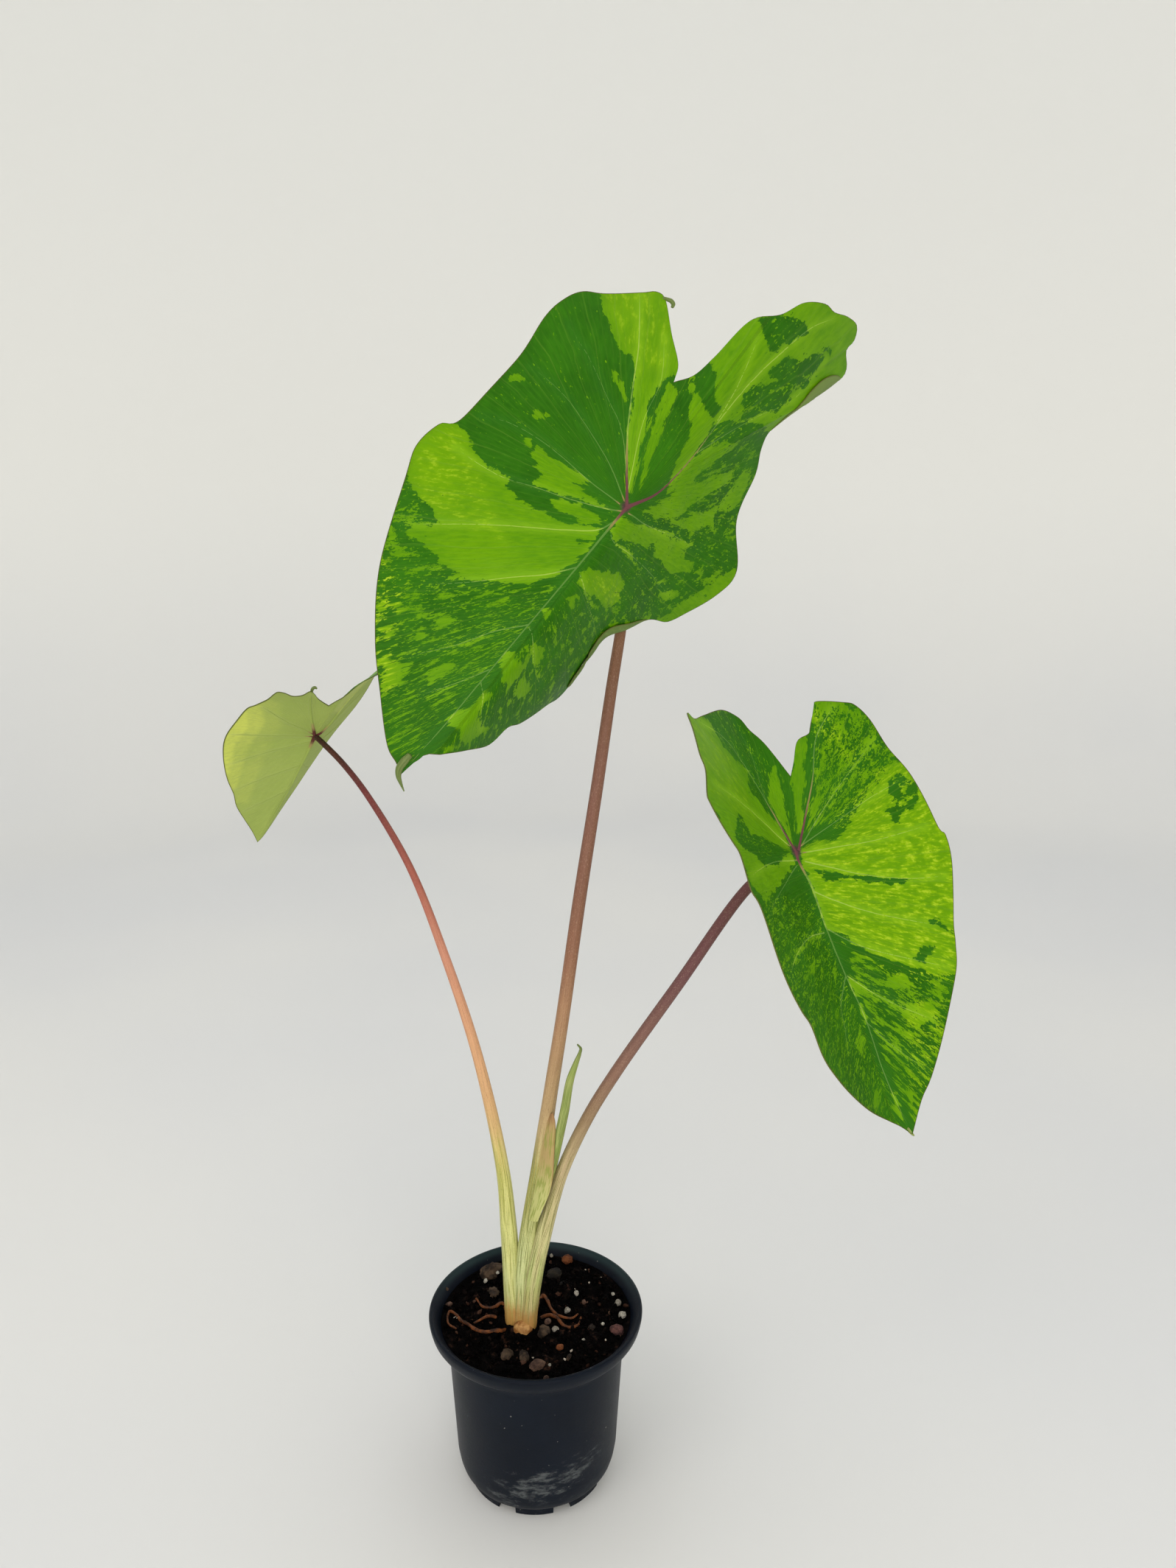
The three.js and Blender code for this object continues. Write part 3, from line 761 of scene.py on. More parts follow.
PETIOLE_LEFT = PetioleFinish(
    "petiole_orange",
    (
        (0.172, (196, 176, 108)),
        (0.196, (194, 198, 136)),
        (0.250, (206, 207, 130)),
        (0.305, (194, 188, 104)),
        (0.345, (208, 170, 116)),
        (0.407, (214, 164, 120)),
        (0.493, (204, 140, 114)),
        (0.560, (168, 92, 78)),
        (0.630, (110, 42, 44)),
        (0.680, (44, 22, 20)),
    ),
    (218, 216, 144),
    (160, 168, 64),
)
BARK = GrainFinish("bark_chip", (82, 65, 50), (32, 24, 19), 0.85, 0.3)
ORANGE_STONE = GrainFinish("stone_orange_brown", (118, 66, 34), (60, 32, 20))
OLIVE_STONE = GrainFinish("stone_olive", (46, 38, 26), (20, 16, 13))
RED_STONE = GrainFinish("stone_red_brown", (110, 72, 66), (60, 38, 38))
TAN_STONE = GrainFinish("stone_tan", (120, 92, 76), (60, 42, 36))
PERLITE = GrainFinish("perlite", (226, 220, 206), (150, 142, 130), 0.95, 1.0)
CORM_SKIN = RootFinish("corm_skin", (190, 146, 88), (134, 84, 40))
ROOT_SKIN = RootFinish("root_skin", (112, 62, 28), (44, 24, 13))


@functools.lru_cache(maxsize=None)
def material_of(finish: Finish) -> bpy.types.Material:
    """The material of a finish, made once."""
    return finish.material()


def shown_only(piece: bpy.types.Object) -> None:
    """Makes one piece the only one selected, and the active one.

    Args:
        piece: The piece.
    """
    bpy.ops.object.select_all(action="DESELECT")
    piece.select_set(True)
    bpy.context.view_layer.objects.active = piece


def in_edit_mode(piece: bpy.types.Object, *steps: Callable) -> None:
    """Runs edit operators on the whole of a piece.

    Args:
        piece: The piece.
        steps: The operators, in order.
    """
    shown_only(piece)
    bpy.ops.object.mode_set(mode="EDIT")
    bpy.ops.mesh.select_all(action="SELECT")
    for step in steps:
        step()
    bpy.ops.object.mode_set(mode="OBJECT")


def added(primitive: Callable, name: str, **settings: object) -> bpy.types.Object:
    """Adds one of Blender's ready shapes.

    Args:
        primitive: The operator that adds it.
        name: The new piece's name.
        settings: The operator's settings.

    Returns:
        The piece.
    """
    bpy.ops.object.select_all(action="DESELECT")
    primitive(**settings)
    piece = bpy.context.object
    piece.name = name
    return piece


def points_of(piece: bpy.types.Object) -> np.ndarray:
    """Reads a piece's points.

    Args:
        piece: The piece.

    Returns:
        Its points, in metres.
    """
    flat = np.zeros(3 * len(piece.data.vertices), np.float32)
    piece.data.vertices.foreach_get("co", flat)
    return flat.reshape(-1, 3).astype(float)


def move_points(piece: bpy.types.Object, points_mm: np.ndarray) -> None:
    """Moves every point of a piece to its place, given in millimetres."""
    piece.data.vertices.foreach_set("co", (points_mm * MM).astype(np.float32).ravel())
    piece.data.update()


def store(piece: bpy.types.Object, name: str, values: np.ndarray) -> None:
    """Stores one number for each point of a piece."""
    layer = piece.data.attributes.new(name, "FLOAT", "POINT")
    layer.data.foreach_set("value", np.ascontiguousarray(values, np.float32).ravel())


def bent_grid(
    name: str, points_mm: np.ndarray, stored: dict[str, np.ndarray], closed: bool
) -> bpy.types.Object:
    """Adds a flat grid with a vertex for each point, bends it into place and welds what meets.

    Args:
        name: The piece's name.
        points_mm: Rows by columns of points.
        stored: Numbers to store, rows by columns.
        closed: Whether the bent grid closes on itself, so that its faces can be turned outwards.

    Returns:
        The piece.
    """
    rows, columns = points_mm.shape[:2]
    cells = {"x_subdivisions": columns - 1, "y_subdivisions": rows - 1}
    piece = added(bpy.ops.mesh.primitive_grid_add, name, size=2.0, **cells)
    flat = points_of(piece)
    column = np.rint((flat[:, 0] + 1) / 2 * (columns - 1)).astype(int)
    row = np.rint((flat[:, 1] + 1) / 2 * (rows - 1)).astype(int)
    move_points(piece, points_mm[row, column])
    for key, values in stored.items():
        store(piece, key, np.broadcast_to(values, (rows, columns))[row, column])
    steps = [functools.partial(bpy.ops.mesh.remove_doubles, threshold=WELD_MM * MM)]
    if closed:
        steps.append(functools.partial(bpy.ops.mesh.normals_make_consistent, inside=False))
    in_edit_mode(piece, *steps)
    return piece


def joined(name: str, parts: list[bpy.types.Object]) -> bpy.types.Object:
    """Joins parts into the first of them.

    Args:
        name: The joined piece's name.
        parts: What is joined.

    Returns:
        The joined piece.
    """
    bpy.ops.object.select_all(action="DESELECT")
    for part in parts:
        part.select_set(True)
    bpy.context.view_layer.objects.active = parts[0]
    if len(parts) > 1:
        bpy.ops.object.join()
    piece = bpy.context.view_layer.objects.active
    piece.name = name
    return piece


def apply_modifier(piece: bpy.types.Object, kind: str, settings: dict[str, object]) -> None:
    """Adds a modifier and applies it.

    Args:
        piece: The piece that it changes.
        kind: The modifier's type.
        settings: Its properties.
    """
    modifier = piece.modifiers.new(kind.title(), kind)
    for key, setting in settings.items():
        setattr(modifier, key, setting)
    shown_only(piece)
    bpy.ops.object.modifier_apply(modifier=modifier.name)


def smooth(piece: bpy.types.Object, angle: float = 50.0) -> None:
    """Shades a piece smooth, but for edges sharper than an angle in degrees."""
    shown_only(piece)
    bpy.ops.object.shade_smooth_by_angle(angle=math.radians(angle))


def dress(piece: bpy.types.Object, *finishes: Finish) -> None:
    """Puts finishes into a piece's material slots.

    Args:
        piece: The piece.
        finishes: One finish for each slot.
    """
    piece.data.materials.clear()
    for finish in finishes:
        piece.data.materials.append(material_of(finish))


def hand_over(piece: bpy.types.Object, slot: str, *nodes: str) -> bpy.types.Object:
    """Ties a finished piece to the part.

    Args:
        piece: The piece.
        slot: The record's material slot; not used.
        nodes: The nodes that the piece stands for.

    Returns:
        The piece.
    """
    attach(piece, BODY)
    if nodes:
        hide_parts(*nodes)
    return piece


def smooth_line(corners: np.ndarray, per_span: int, even: bool = False) -> np.ndarray:
    """Points along a Catmull-Rom line through corners.

    Args:
        corners: The points that the line passes.
        per_span: Steps between two corners.
        even: Whether the line is the uniform kind; otherwise it is the centripetal one.

    Returns:
        The points, the last corner included.
    """
    before_first = 2 * corners[0] - corners[1]
    after_last = 2 * corners[-1] - corners[-2]
    padded = np.vstack([before_first, corners, after_last])
    u = (np.arange(per_span) / per_span)[:, None]
    spans = []
    for before, start, end, after in zip(padded, padded[1:], padded[2:], padded[3:]):
        if even:
            leave, arrive = (end - before) / 2, (after - start) / 2
        else:
            d0, d1, d2 = (
                math.sqrt(np.linalg.norm(b - a)) for a, b in ((before, start), (start, end), (end, after))
            )
            leave = ((start - before) / d0 - (end - before) / (d0 + d1) + (end - start) / d1) * d1
            arrive = ((end - start) / d1 - (after - start) / (d1 + d2) + (after - end) / d2) * d1
        spans.append(
            start
            + leave * u
            + (3 * (end - start) - 2 * leave - arrive) * u**2
            + (2 * (start - end) + leave + arrive) * u**3
        )
    return np.vstack([*spans, corners[-1:]])


def directions(points: np.ndarray) -> np.ndarray:
    """The direction, 1 long, that a line runs in at each of its points."""
    steps = np.gradient(points, axis=0)
    return steps / np.linalg.norm(steps, axis=1)[:, None]


def lengths_along(points: np.ndarray) -> np.ndarray:
    """How far along a line each of its points lies."""
    steps = np.linalg.norm(np.diff(points, axis=0), axis=1)
    return np.concatenate([[0.0], np.cumsum(steps)])


def evenly(points: np.ndarray, count: int) -> np.ndarray:
    """Spaces points evenly along a line.

    Args:
        points: The line.
        count: How many points there are to be.

    Returns:
        The points, both ends included.
    """
    far = lengths_along(points)
    wanted = np.linspace(0, far[-1], count)
    return np.stack([np.interp(wanted, far, column) for column in points.T], axis=-1)


def bumps(points: np.ndarray, size: float, seed: int, waves: int = 18) -> np.ndarray:
    """Smooth random bumps over points, mostly between -1 and 1.

    Args:
        points: Where the bumps are read.
        size: How wide a bump is.
        seed: What the bumps are drawn from.
        waves: How many waves are laid over each other.

    Returns:
        The height at each point.
    """
    random = np.random.default_rng(seed)
    travel = random.normal(size=(waves, points.shape[-1])) * (math.pi / size)
    phases = random.uniform(0, 2 * math.pi, waves)
    return np.sin(points @ travel.T + phases).sum(axis=-1) * math.sqrt(1.2 / waves)


def layered_bumps(points: np.ndarray, seed: int, layers: tuple[tuple[float, float], ...]) -> np.ndarray:
    """Random bumps of several sizes over each other.

    Args:
        points: Where the bumps are read.
        seed: What the first layer is drawn from; each further one takes the next number.
        layers: Each layer's size and height.

    Returns:
        The height at each point.
    """
    return sum(height * bumps(points, size, seed + number) for number, (size, height) in enumerate(layers))


def turned(points: np.ndarray, angle: np.ndarray, start: int, towards: int) -> np.ndarray:
    """Turns groups of points in the plane of two axes.

    Args:
        points: Groups by points.
        angle: Each group's turn.
        start: The number of the axis that the turn starts from.
        towards: The number of the axis that it goes towards.

    Returns:
        The turned points.
    """
    c, s = np.cos(angle)[:, None], np.sin(angle)[:, None]
    result = points.copy()
    result[..., start] = c * points[..., start] - s * points[..., towards]
    result[..., towards] = s * points[..., start] + c * points[..., towards]
    return result


def tube(
    name: str, middles: np.ndarray, radii: np.ndarray, sides: int, lip: float = 0.0
) -> bpy.types.Object:
    """Makes a round bar with domed ends.

    Args:
        name: Its name.
        middles: Points along its middle.
        radii: Its radius at each, or at each and for each side.
        sides: How many sides it has.
        lip: How far, as a share of the radius, the surface steps out at one seam, as a rolled sheet's edge.

    Returns:
        The bar, which stores its length and the turn round it.
    """
    tangents = directions(middles)
    across = np.array([0.0, 1.0, 0.0])
    sideways = []
    for tangent in tangents:
        across = across - tangent * (across @ tangent)
        across = across / np.linalg.norm(across)
        sideways.append(across)
    sideways = np.array(sideways)
    upward = np.cross(tangents, sideways)
    angle = np.linspace(0, 2 * math.pi, sides + 1)
    radii = np.broadcast_to(radii if radii.ndim == 2 else radii[:, None], (len(middles), sides + 1))
    radii = radii * (1 + lip * (angle / (2 * math.pi)) ** LIP_SHARPNESS)
    rings = (
        middles[:, None]
        + radii[..., None] * np.cos(angle)[None, :, None] * sideways[:, None]
        + radii[..., None] * np.sin(angle)[None, :, None] * upward[:, None]
    )
    first, last = (
        np.broadcast_to(middles[end] + tangents[end] * radii[end].mean() * dome, rings[:1].shape)
        for end, dome in ((0, -END_DOME), (-1, END_DOME))
    )
    surface = np.concatenate([first, rings, last])
    if lip:
        surface = np.concatenate([surface, surface[:, :1]], axis=1)
        angle = np.append(angle, angle[0])
    far = lengths_along(middles)
    far = np.concatenate([[0.0], far, far[-1:]])[:, None]
    stored = {"along": far, "turn_x": np.cos(angle)[None], "turn_y": np.sin(angle)[None]}
    return bent_grid(name, surface, stored, closed=True)


def stations_line(stations: tuple[Station, ...], per_span: int) -> tuple[np.ndarray, np.ndarray]:
    """Draws the line of a bar that is given by stations.

    Args:
        stations: Points along its middle, each with the radius there.
        per_span: Steps between two stations.

    Returns:
        The smooth middle line, and the radius at each of its points.
    """
    given = np.array(stations, float)
    middles = smooth_line(given[:, :3], per_span)
    places = np.linspace(0, len(given) - 1, len(middles))
    return middles, np.interp(places, np.arange(len(given)), given[:, 3])


def distance_to_edges(points: np.ndarray, start: np.ndarray, edge: np.ndarray) -> np.ndarray:
    """How far flat points are from the nearest of several straight edges.

    Args:
        points: The points.
        start: Where each edge starts.
        edge: How far each edge runs, along both axes.

    Returns:
        Each point's distance.
    """
    offset = points[:, None] - start
    along = np.clip((offset * edge).sum(-1) / (edge**2).sum(-1), 0, 1)
    return np.linalg.norm(offset - along[..., None] * edge, axis=-1).min(axis=1)


def depth_inside(points: np.ndarray, outline: Outline) -> np.ndarray:
    """How deep flat points lie inside an outline.

    Args:
        points: The points.
        outline: The outline's corners.

    Returns:
        Each point's distance to the outline, negative outside it.
    """
    start = np.array(outline, float)
    edge = np.roll(start, -1, axis=0) - start
    away = distance_to_edges(points, start, edge)
    end = start + edge
    crossing = (start[:, 1] > points[:, 1:2]) != (end[:, 1] > points[:, 1:2])
    rise = np.where(edge[:, 1] == 0, 1e-9, edge[:, 1])
    where = start[:, 0] + (points[:, 1:2] - start[:, 1]) * edge[:, 0] / rise
    inside = (crossing & (points[:, 0:1] < where)).sum(axis=1) % 2 == 1
    return np.where(inside, away, -away)


def softly_inside(points: np.ndarray, outline: Outline) -> np.ndarray:
    """1 for flat points inside an outline and 0 outside it, with a soft edge."""
    share = np.clip(depth_inside(points, outline) / ZONE_EDGE + 0.5, 0, 1)
    return share * share * (3 - 2 * share)


def distance_to_lines(points: np.ndarray, lines: list[np.ndarray]) -> np.ndarray:
    """How far flat points are from the nearest of several lines."""
    return np.min([distance_to_edges(points, line[:-1], np.diff(line, axis=0)) for line in lines], axis=0)


class Face(Enum):
    """A side of a blade, as the sign of its normal."""

    UPPER = 1
    UNDER = -1


@dataclass(frozen=True)
class Vein:
    """A primary vein, on the flat blade: its route, its width at the petiole, and its purple stretch."""

    route: Outline
    width: float = 1.5
    purple: float = 6.0


@dataclass(frozen=True)
class Zone:
    """A part of the flat blade, and how strong a feature is there."""

    share: float
    outline: Outline


@dataclass(frozen=True)
class Mottle:
    """A part of the flat blade where the greens mingle, and the darkest and the lightest tone there."""

    darkest: float
    lightest: float
    outline: Outline


@dataclass(frozen=True)
class Flap:
    """A stretch of margin folded over the upper face: its crease, with the blade to its left, and its width.

    The lean moves the widest place: under 1 towards the crease's start, over 1 towards its end.
    """

    crease: Outline
    width: float
    lean: float


@dataclass(frozen=True)
class Fan:
    """How a half's veins spread: their slant at the petiole and its change along the midrib.

    The stretch is how much longer the streaks grow behind the first vein.
    """

    slant: float
    change: float
    stretch: float = 0.0


# The blades' measures, in millimetres where they are lengths
THICKNESS = 0.6
MIDRIB_SOFTNESS = 12.0
LOBE_BLEND = 30.0
PILLOW_HEIGHT = 1.0
PILLOW_WIDTH = 9.0
GROOVE_DEPTH = 0.35
GROOVE_WIDTH = 1.6
ZONE_EDGE = 9.0
TONE_LIMIT = 12.0
FAN_RADIUS = 60.0
VEIN_TAPER = 32.0
LEAST_TURN = 0.02
RIGHT_HALF_SHIFT = 400.0
STRETCHED_TURN = 0.6
CRINKLE_HEIGHT = 0.22
CRINKLE_SIZE = 7.0
CRINKLE_SEED = 3
FLAP_GAP = 0.5
FLAP_RISE = 1.5
FLAP_THICKNESS = 0.3
FLAP_STEPS = (48, 12)
RIB_STEP = 2.2
RIB_POINTS = 9
RIB_SINK = 0.28
RIB_WIDTH = {Face.UPPER: 0.5, Face.UNDER: 0.8}
RIB_HEIGHT = {Face.UPPER: 0.14, Face.UNDER: 0.75}


@dataclass
class Leaf:
    """A blade: laid out flat, s towards the tip and t across, then bent, folded, curled and turned.

    Lengths are in millimetres and angles in degrees. Of two numbers the first is the left half's.

    Attributes:
        name: What tells it from the other leaves.
        slot: The record's material slot.
        at: Where the petiole meets the blade.
        turn: The blade's turns about X, Y and Z.
        bend_tip: How much 100 mm of the midrib bend back towards the tip.
        bend_lobes: How much they bend in each lobe.
        fold: How far each half hangs at the midrib.
        fold_change: How much further it hangs at the change length towards the tip.
        change_length: How far that is from the petiole.
        curl: How much further 100 mm of each half bend.
        left: Half of the margin, from the tip to the notch between the lobes.
        right: The other half, back to the tip.
        waves: The margin's waves, each by its angle from the tip, its width and its height.
        ripple: The height of the small even waves.
        ripples: How many of them each half has.
        veins: The primary veins.
        fans: How each half's finer veins spread.
        lime: Outlines of the light green parts.
        dark: Outlines of what is dark again inside them.
        mottled: Where the greens mingle.
        speckled: Where there are more flecks.
        bright: Where the light green turns yellow.
        flaps: The stretches of margin that are folded over.
        drips: The thin hooks at the margin, in the plant's frame.
        plain_speckle: How strong the flecks are elsewhere.
        rays: How many points the margin has.
        rings: How many rings of faces lie between the petiole and the margin.
    """

    name: str
    slot: str
    at: tuple[float, float, float]
    turn: tuple[float, float, float]
    bend_tip: float
    bend_lobes: tuple[float, float]
    fold: tuple[float, float]
    fold_change: tuple[float, float]
    change_length: float
    curl: tuple[float, float]
    left: Outline
    right: Outline
    waves: tuple[tuple[float, float, float], ...]
    ripple: float
    ripples: int
    veins: tuple[Vein, ...]
    fans: tuple[Fan, Fan]
    lime: tuple[Outline, ...] = ()
    dark: tuple[Outline, ...] = ()
    mottled: tuple[Mottle, ...] = ()
    speckled: tuple[Zone, ...] = ()
    bright: tuple[Zone, ...] = ()
    flaps: tuple[Flap, ...] = ()
    drips: tuple[tuple[Station, ...], ...] = ()
    plain_speckle: float = 0.06
    rays: int = 440
    rings: int = 76

    def __post_init__(self) -> None:
        """Works out the margin's points and the veins' lines."""
        sides = []
        for corners in (self.left, self.right):
            dense = smooth_line(np.array(corners, float), per_span=24, even=True)
            sides.append(evenly(dense, self.rays // 2 + 1))
        self.margin = np.vstack([sides[0][:-1], sides[1]])
        share = np.arange(self.rays // 2 + 1) / (self.rays // 2)
        self.share = np.concatenate([share[:-1], share])
        turn = np.degrees(np.arctan2(self.margin[:, 1], self.margin[:, 0]))
        self.tip_angle = turn[0]
        swept = np.degrees(np.unwrap(np.radians(self.tip_angle - turn)))
        least = np.arange(len(swept)) * LEAST_TURN
        self.swept = np.maximum.accumulate(swept - least) + least
        self.swept[-1] = 360.0
        self.radius = np.linalg.norm(self.margin, axis=1)
        angle = np.radians(self.tip_angle - self.swept)
        self.margin = self.radius[:, None] * np.stack([np.cos(angle), np.sin(angle)], axis=-1)
        self.lines = [smooth_line(np.array(vein.route, float), per_span=8) for vein in self.veins]
        self.turning = np.array(Euler([math.radians(v) for v in self.turn], "XYZ").to_matrix())

    def placed(self, s: np.ndarray, t: np.ndarray, lift: np.ndarray) -> np.ndarray:
        """Where points of the flat blade lie in the plant.

        Args:
            s: Towards the tip.
            t: Across, to the right of the upper face.
            lift: Off the middle surface, towards the upper face.

        Returns:
            The points, in millimetres.
        """
        lobe_mean = (self.bend_lobes[0] + self.bend_lobes[1]) / 2
        lobe_half = (self.bend_lobes[1] - self.bend_lobes[0]) / 2
        bend = np.where(s > 0, self.bend_tip, lobe_mean + lobe_half * np.tanh(t / LOBE_BLEND))
        per_length = np.radians(bend) / 100
        per_length = np.where(np.abs(per_length) < 1e-7, 1e-7, per_length)
        along = np.sin(per_length * s) / per_length
        drop = -(1 - np.cos(per_length * s)) / per_length
        slant = np.hypot(t, MIDRIB_SOFTNESS)
        across = slant - MIDRIB_SOFTNESS
        change = np.clip(s / self.change_length, -1, 1)
        on_left = t < 0
        fold = np.radians(
            np.where(on_left, self.fold[0], self.fold[1])
            + np.where(on_left, self.fold_change[0], self.fold_change[1]) * change
        )
        curl = np.radians(np.where(on_left, self.curl[0], self.curl[1])) / 100
        lean_y = np.sin(fold + curl * across) * (t / slant)
        lean_z = np.sqrt(1 - lean_y**2)
        swing = fold + curl * across / 2
        y = t * np.cos(swing) + lift * lean_y
        fall = across * np.sin(swing) - lift * lean_z
        local = np.stack(
            [along - np.sin(per_length * s) * fall, y, drop - np.cos(per_length * s) * fall], axis=-1
        )
        return local @ self.turning.T + np.array(self.at)

    def lift(self, s: np.ndarray, t: np.ndarray) -> np.ndarray:
        """How far the blade's middle surface waves and swells off its plain bend.

        Args:
            s: Towards the tip.
            t: Across.

        Returns:
            The height, towards the upper face.
        """
        points = np.stack([s.ravel(), t.ravel()], axis=-1)
        angle = np.degrees(np.arctan2(t, s))
        swept = (self.tip_angle - angle) % 360
        radius = np.interp(swept, self.swept, self.radius)
        share = np.interp(swept, self.swept, np.where(self.share == 1, 0, self.share))
        reach = np.clip(np.hypot(s, t) / radius, 0, 1)
        wave = self.ripple * np.sin(2 * math.pi * self.ripples * share) * np.sin(math.pi * share)
        for middle, width, amount in self.waves:
            away = (angle - middle + 540) % 360 - 180
            wave = wave + amount * np.exp(-((away / width) ** 2))
        gap = distance_to_lines(points, self.lines).reshape(s.shape)
        inner = np.sqrt(reach) * (1 - reach**4)
        pillow = PILLOW_HEIGHT * (1 - np.exp(-((gap / PILLOW_WIDTH) ** 2))) * inner
        groove = GROOVE_DEPTH * np.exp(-((gap / GROOVE_WIDTH) ** 2)) * (1 - reach**2)
        crinkle = CRINKLE_HEIGHT * bumps(points, CRINKLE_SIZE, CRINKLE_SEED).reshape(s.shape) * inner
        return wave * reach**3 + pillow - groove + crinkle

    def fan(self, s: np.ndarray, t: np.ndarray) -> tuple[np.ndarray, np.ndarray]:
        """Coordinates that follow the veins.

        Args:
            s: Towards the tip.
            t: Across.

        Returns:
            How far along the veins from the midrib, and how far across them.
        """
        slant = np.where(t < 0, self.fans[0].slant, self.fans[1].slant)
        change = np.where(t < 0, self.fans[0].change, self.fans[1].change)
        away = np.abs(t)
        origin = (s - slant * away) / (1 + change * away)
        angle = np.arctan2(away, s) - np.arctan2(1, slant)
        from_midrib = origin > 0
        across = np.where(from_midrib, origin, -angle * FAN_RADIUS)
        stretch = np.where(t < 0, self.fans[0].stretch, self.fans[1].stretch)
        drawn_out = 1 - stretch * np.clip(angle / STRETCHED_TURN, 0, 1)
        along = np.where(from_midrib, away * np.sqrt(1 + slant**2), np.hypot(s, t) * drawn_out)
        return along, across + np.where(t < 0, 0.0, RIGHT_HALF_SHIFT)

    def pattern(self, s: np.ndarray, t: np.ndarray) -> dict[str, np.ndarray]:
        """The numbers that the blade's finishes read.

        Args:
            s: Towards the tip.
            t: Across.

        Returns:
            Each number's name and its values at the flat points.
        """
        points = np.stack([s.ravel(), t.ravel()], axis=-1)
        tone = np.full(len(points), -TONE_LIMIT)
        for outline in self.lime:
            tone = np.maximum(tone, depth_inside(points, outline))
        for outline in self.dark:
            tone = np.minimum(tone, -depth_inside(points, outline))
        for part in self.mottled:
            free = TONE_LIMIT * (1 - softly_inside(points, part.outline))
            tone = np.clip(tone, part.darkest - free, part.lightest + free)
        along, across = self.fan(s, t)
        return {
            "tone": np.clip(tone, -TONE_LIMIT, TONE_LIMIT).reshape(s.shape),
            "speckle": self.zoned(points, self.speckled, self.plain_speckle).reshape(s.shape),
            "bright": self.zoned(points, self.bright, 0.0).reshape(s.shape),
            "along": along,
            "across": across,
            "vein_gap": distance_to_lines(points, self.lines).reshape(s.shape),
            "from_petiole": np.hypot(s, t),
        }

    @staticmethod
    def zoned(points: np.ndarray, zones: tuple[Zone, ...], plain: float) -> np.ndarray:
        """How strong a feature is at flat points, with soft edges.

        Args:
            points: The points.
            zones: Where it is strong; the strongest counts.
            plain: How strong it is elsewhere.

        Returns:
            Its strength at each point.
        """
        found = np.full(len(points), plain)
        for zone in zones:
            found = np.maximum(found, zone.share * softly_inside(points, zone.outline))
        return found

    def blade(self) -> bpy.types.Object:
        """Bends a grid of rays and rings into the blade and gives it its thickness.

        Returns:
            The blade.
        """
        reach = np.linspace(0, 1, self.rings + 1)[:, None]
        s, t = self.margin[:, 0] * reach, self.margin[:, 1] * reach
        stored = self.pattern(s, t)
        stored["rim"] = (1 - reach) * self.radius
        lift = self.lift(s, t)
        points = self.placed(s, t, lift + THICKNESS / 2)
        piece = bent_grid(self.name, points, stored, closed=False)
        dress(piece, LeafUpperFinish(), LeafUnderFinish(), LeafUnderFinish())
        settings = {
            "thickness": THICKNESS * MM,
            "offset": -1.0,
            "material_offset": 1,
            "material_offset_rim": 2,
        }
        apply_modifier(piece, "SOLIDIFY", settings)
        return piece

    def flap(self, flap: Flap) -> bpy.types.Object:
        """Makes a thin strip over the blade's margin, with its underside up.

        Args:
            flap: The strip's crease and width.

        Returns:
            The strip.
        """
        steps, steps_over = FLAP_STEPS
        crease = evenly(smooth_line(np.array(flap.crease, float), per_span=12), steps)
        way = directions(crease)
        inward = np.stack([-way[:, 1], way[:, 0]], axis=-1)
        share = np.linspace(0, 1, len(crease))
        shape = np.sin(math.pi * share**flap.lean) ** 0.8 + 0.02
        over = np.linspace(0, 1, steps_over)[None]
        reach = flap.width * shape[:, None] * over
        s = crease[:, :1] + inward[:, :1] * reach
        t = crease[:, 1:] + inward[:, 1:] * reach
        rise = FLAP_RISE * shape[:, None] * (1 - (1 - over) ** 4 - 0.5 * over**2)
        lift = self.lift(s, t) + THICKNESS / 2 + FLAP_GAP * shape[:, None] + rise
        points = self.placed(s, t, lift)
        stored = self.pattern(s, t)
        stored["rim"] = reach[:, -1:] - reach
        piece = bent_grid("flap", points, stored, closed=False)
        # Painted shade: the flap takes the darker copy of the underside finish.
        dress(piece, SHADED_FOLDED_EDGE)
        apply_modifier(piece, "SOLIDIFY", {"thickness": FLAP_THICKNESS * MM, "offset": 0.0})
        return piece

    def rib(self, vein: Vein, line: np.ndarray, face: Face) -> bpy.types.Object:
        """Makes one vein's raised line on one face.

        Args:
            vein: The vein.
            line: Its flat line.
            face: The face.

        Returns:
            A slim closed bar, half sunk in the blade.
        """
        steps = max(8, int(lengths_along(line)[-1] / RIB_STEP))
        flat = evenly(line, steps)
        s, t = flat[:, 0], flat[:, 1]
        lift = self.lift(s, t) + face.value * THICKNESS / 2
        middles = self.placed(s, t, lift)
        normals = (self.placed(s, t, lift + 1) - middles) * face.value
        sideways = np.cross(normals, directions(middles))
        share = np.linspace(0, 1, steps)
        far = lengths_along(middles) + np.hypot(s[0], t[0])
        slim = (0.3 + 0.7 * np.exp(-lengths_along(middles) / VEIN_TAPER)) * np.clip((1 - share) * 6, 0.05, 1)
        wide = vein.width * RIB_WIDTH[face] * slim
        tall = vein.width * RIB_HEIGHT[face] * slim
        angle = np.linspace(0, 2 * math.pi, RIB_POINTS)
        rise = np.where(np.sin(angle)[None] > 0, tall[:, None], RIB_SINK) * np.sin(angle)
        rings = (
            middles[:, None]
            + (wide[:, None] * np.cos(angle))[..., None] * sideways[:, None]
            + rise[..., None] * normals[:, None]
        )
        ends = [np.broadcast_to(middles[i] - normals[i] * 0.1, rings[:1].shape) for i in (0, -1)]
        stored = {"purple": np.clip(1.4 - far / vein.purple, 0, 1), "tone": self.pattern(s, t)["tone"]}
        stored = {key: np.concatenate([row[:1], row, row[-1:]])[:, None] for key, row in stored.items()}
        points = np.concatenate([ends[0], rings, ends[1]])
        piece = bent_grid("rib", points, stored, closed=True)
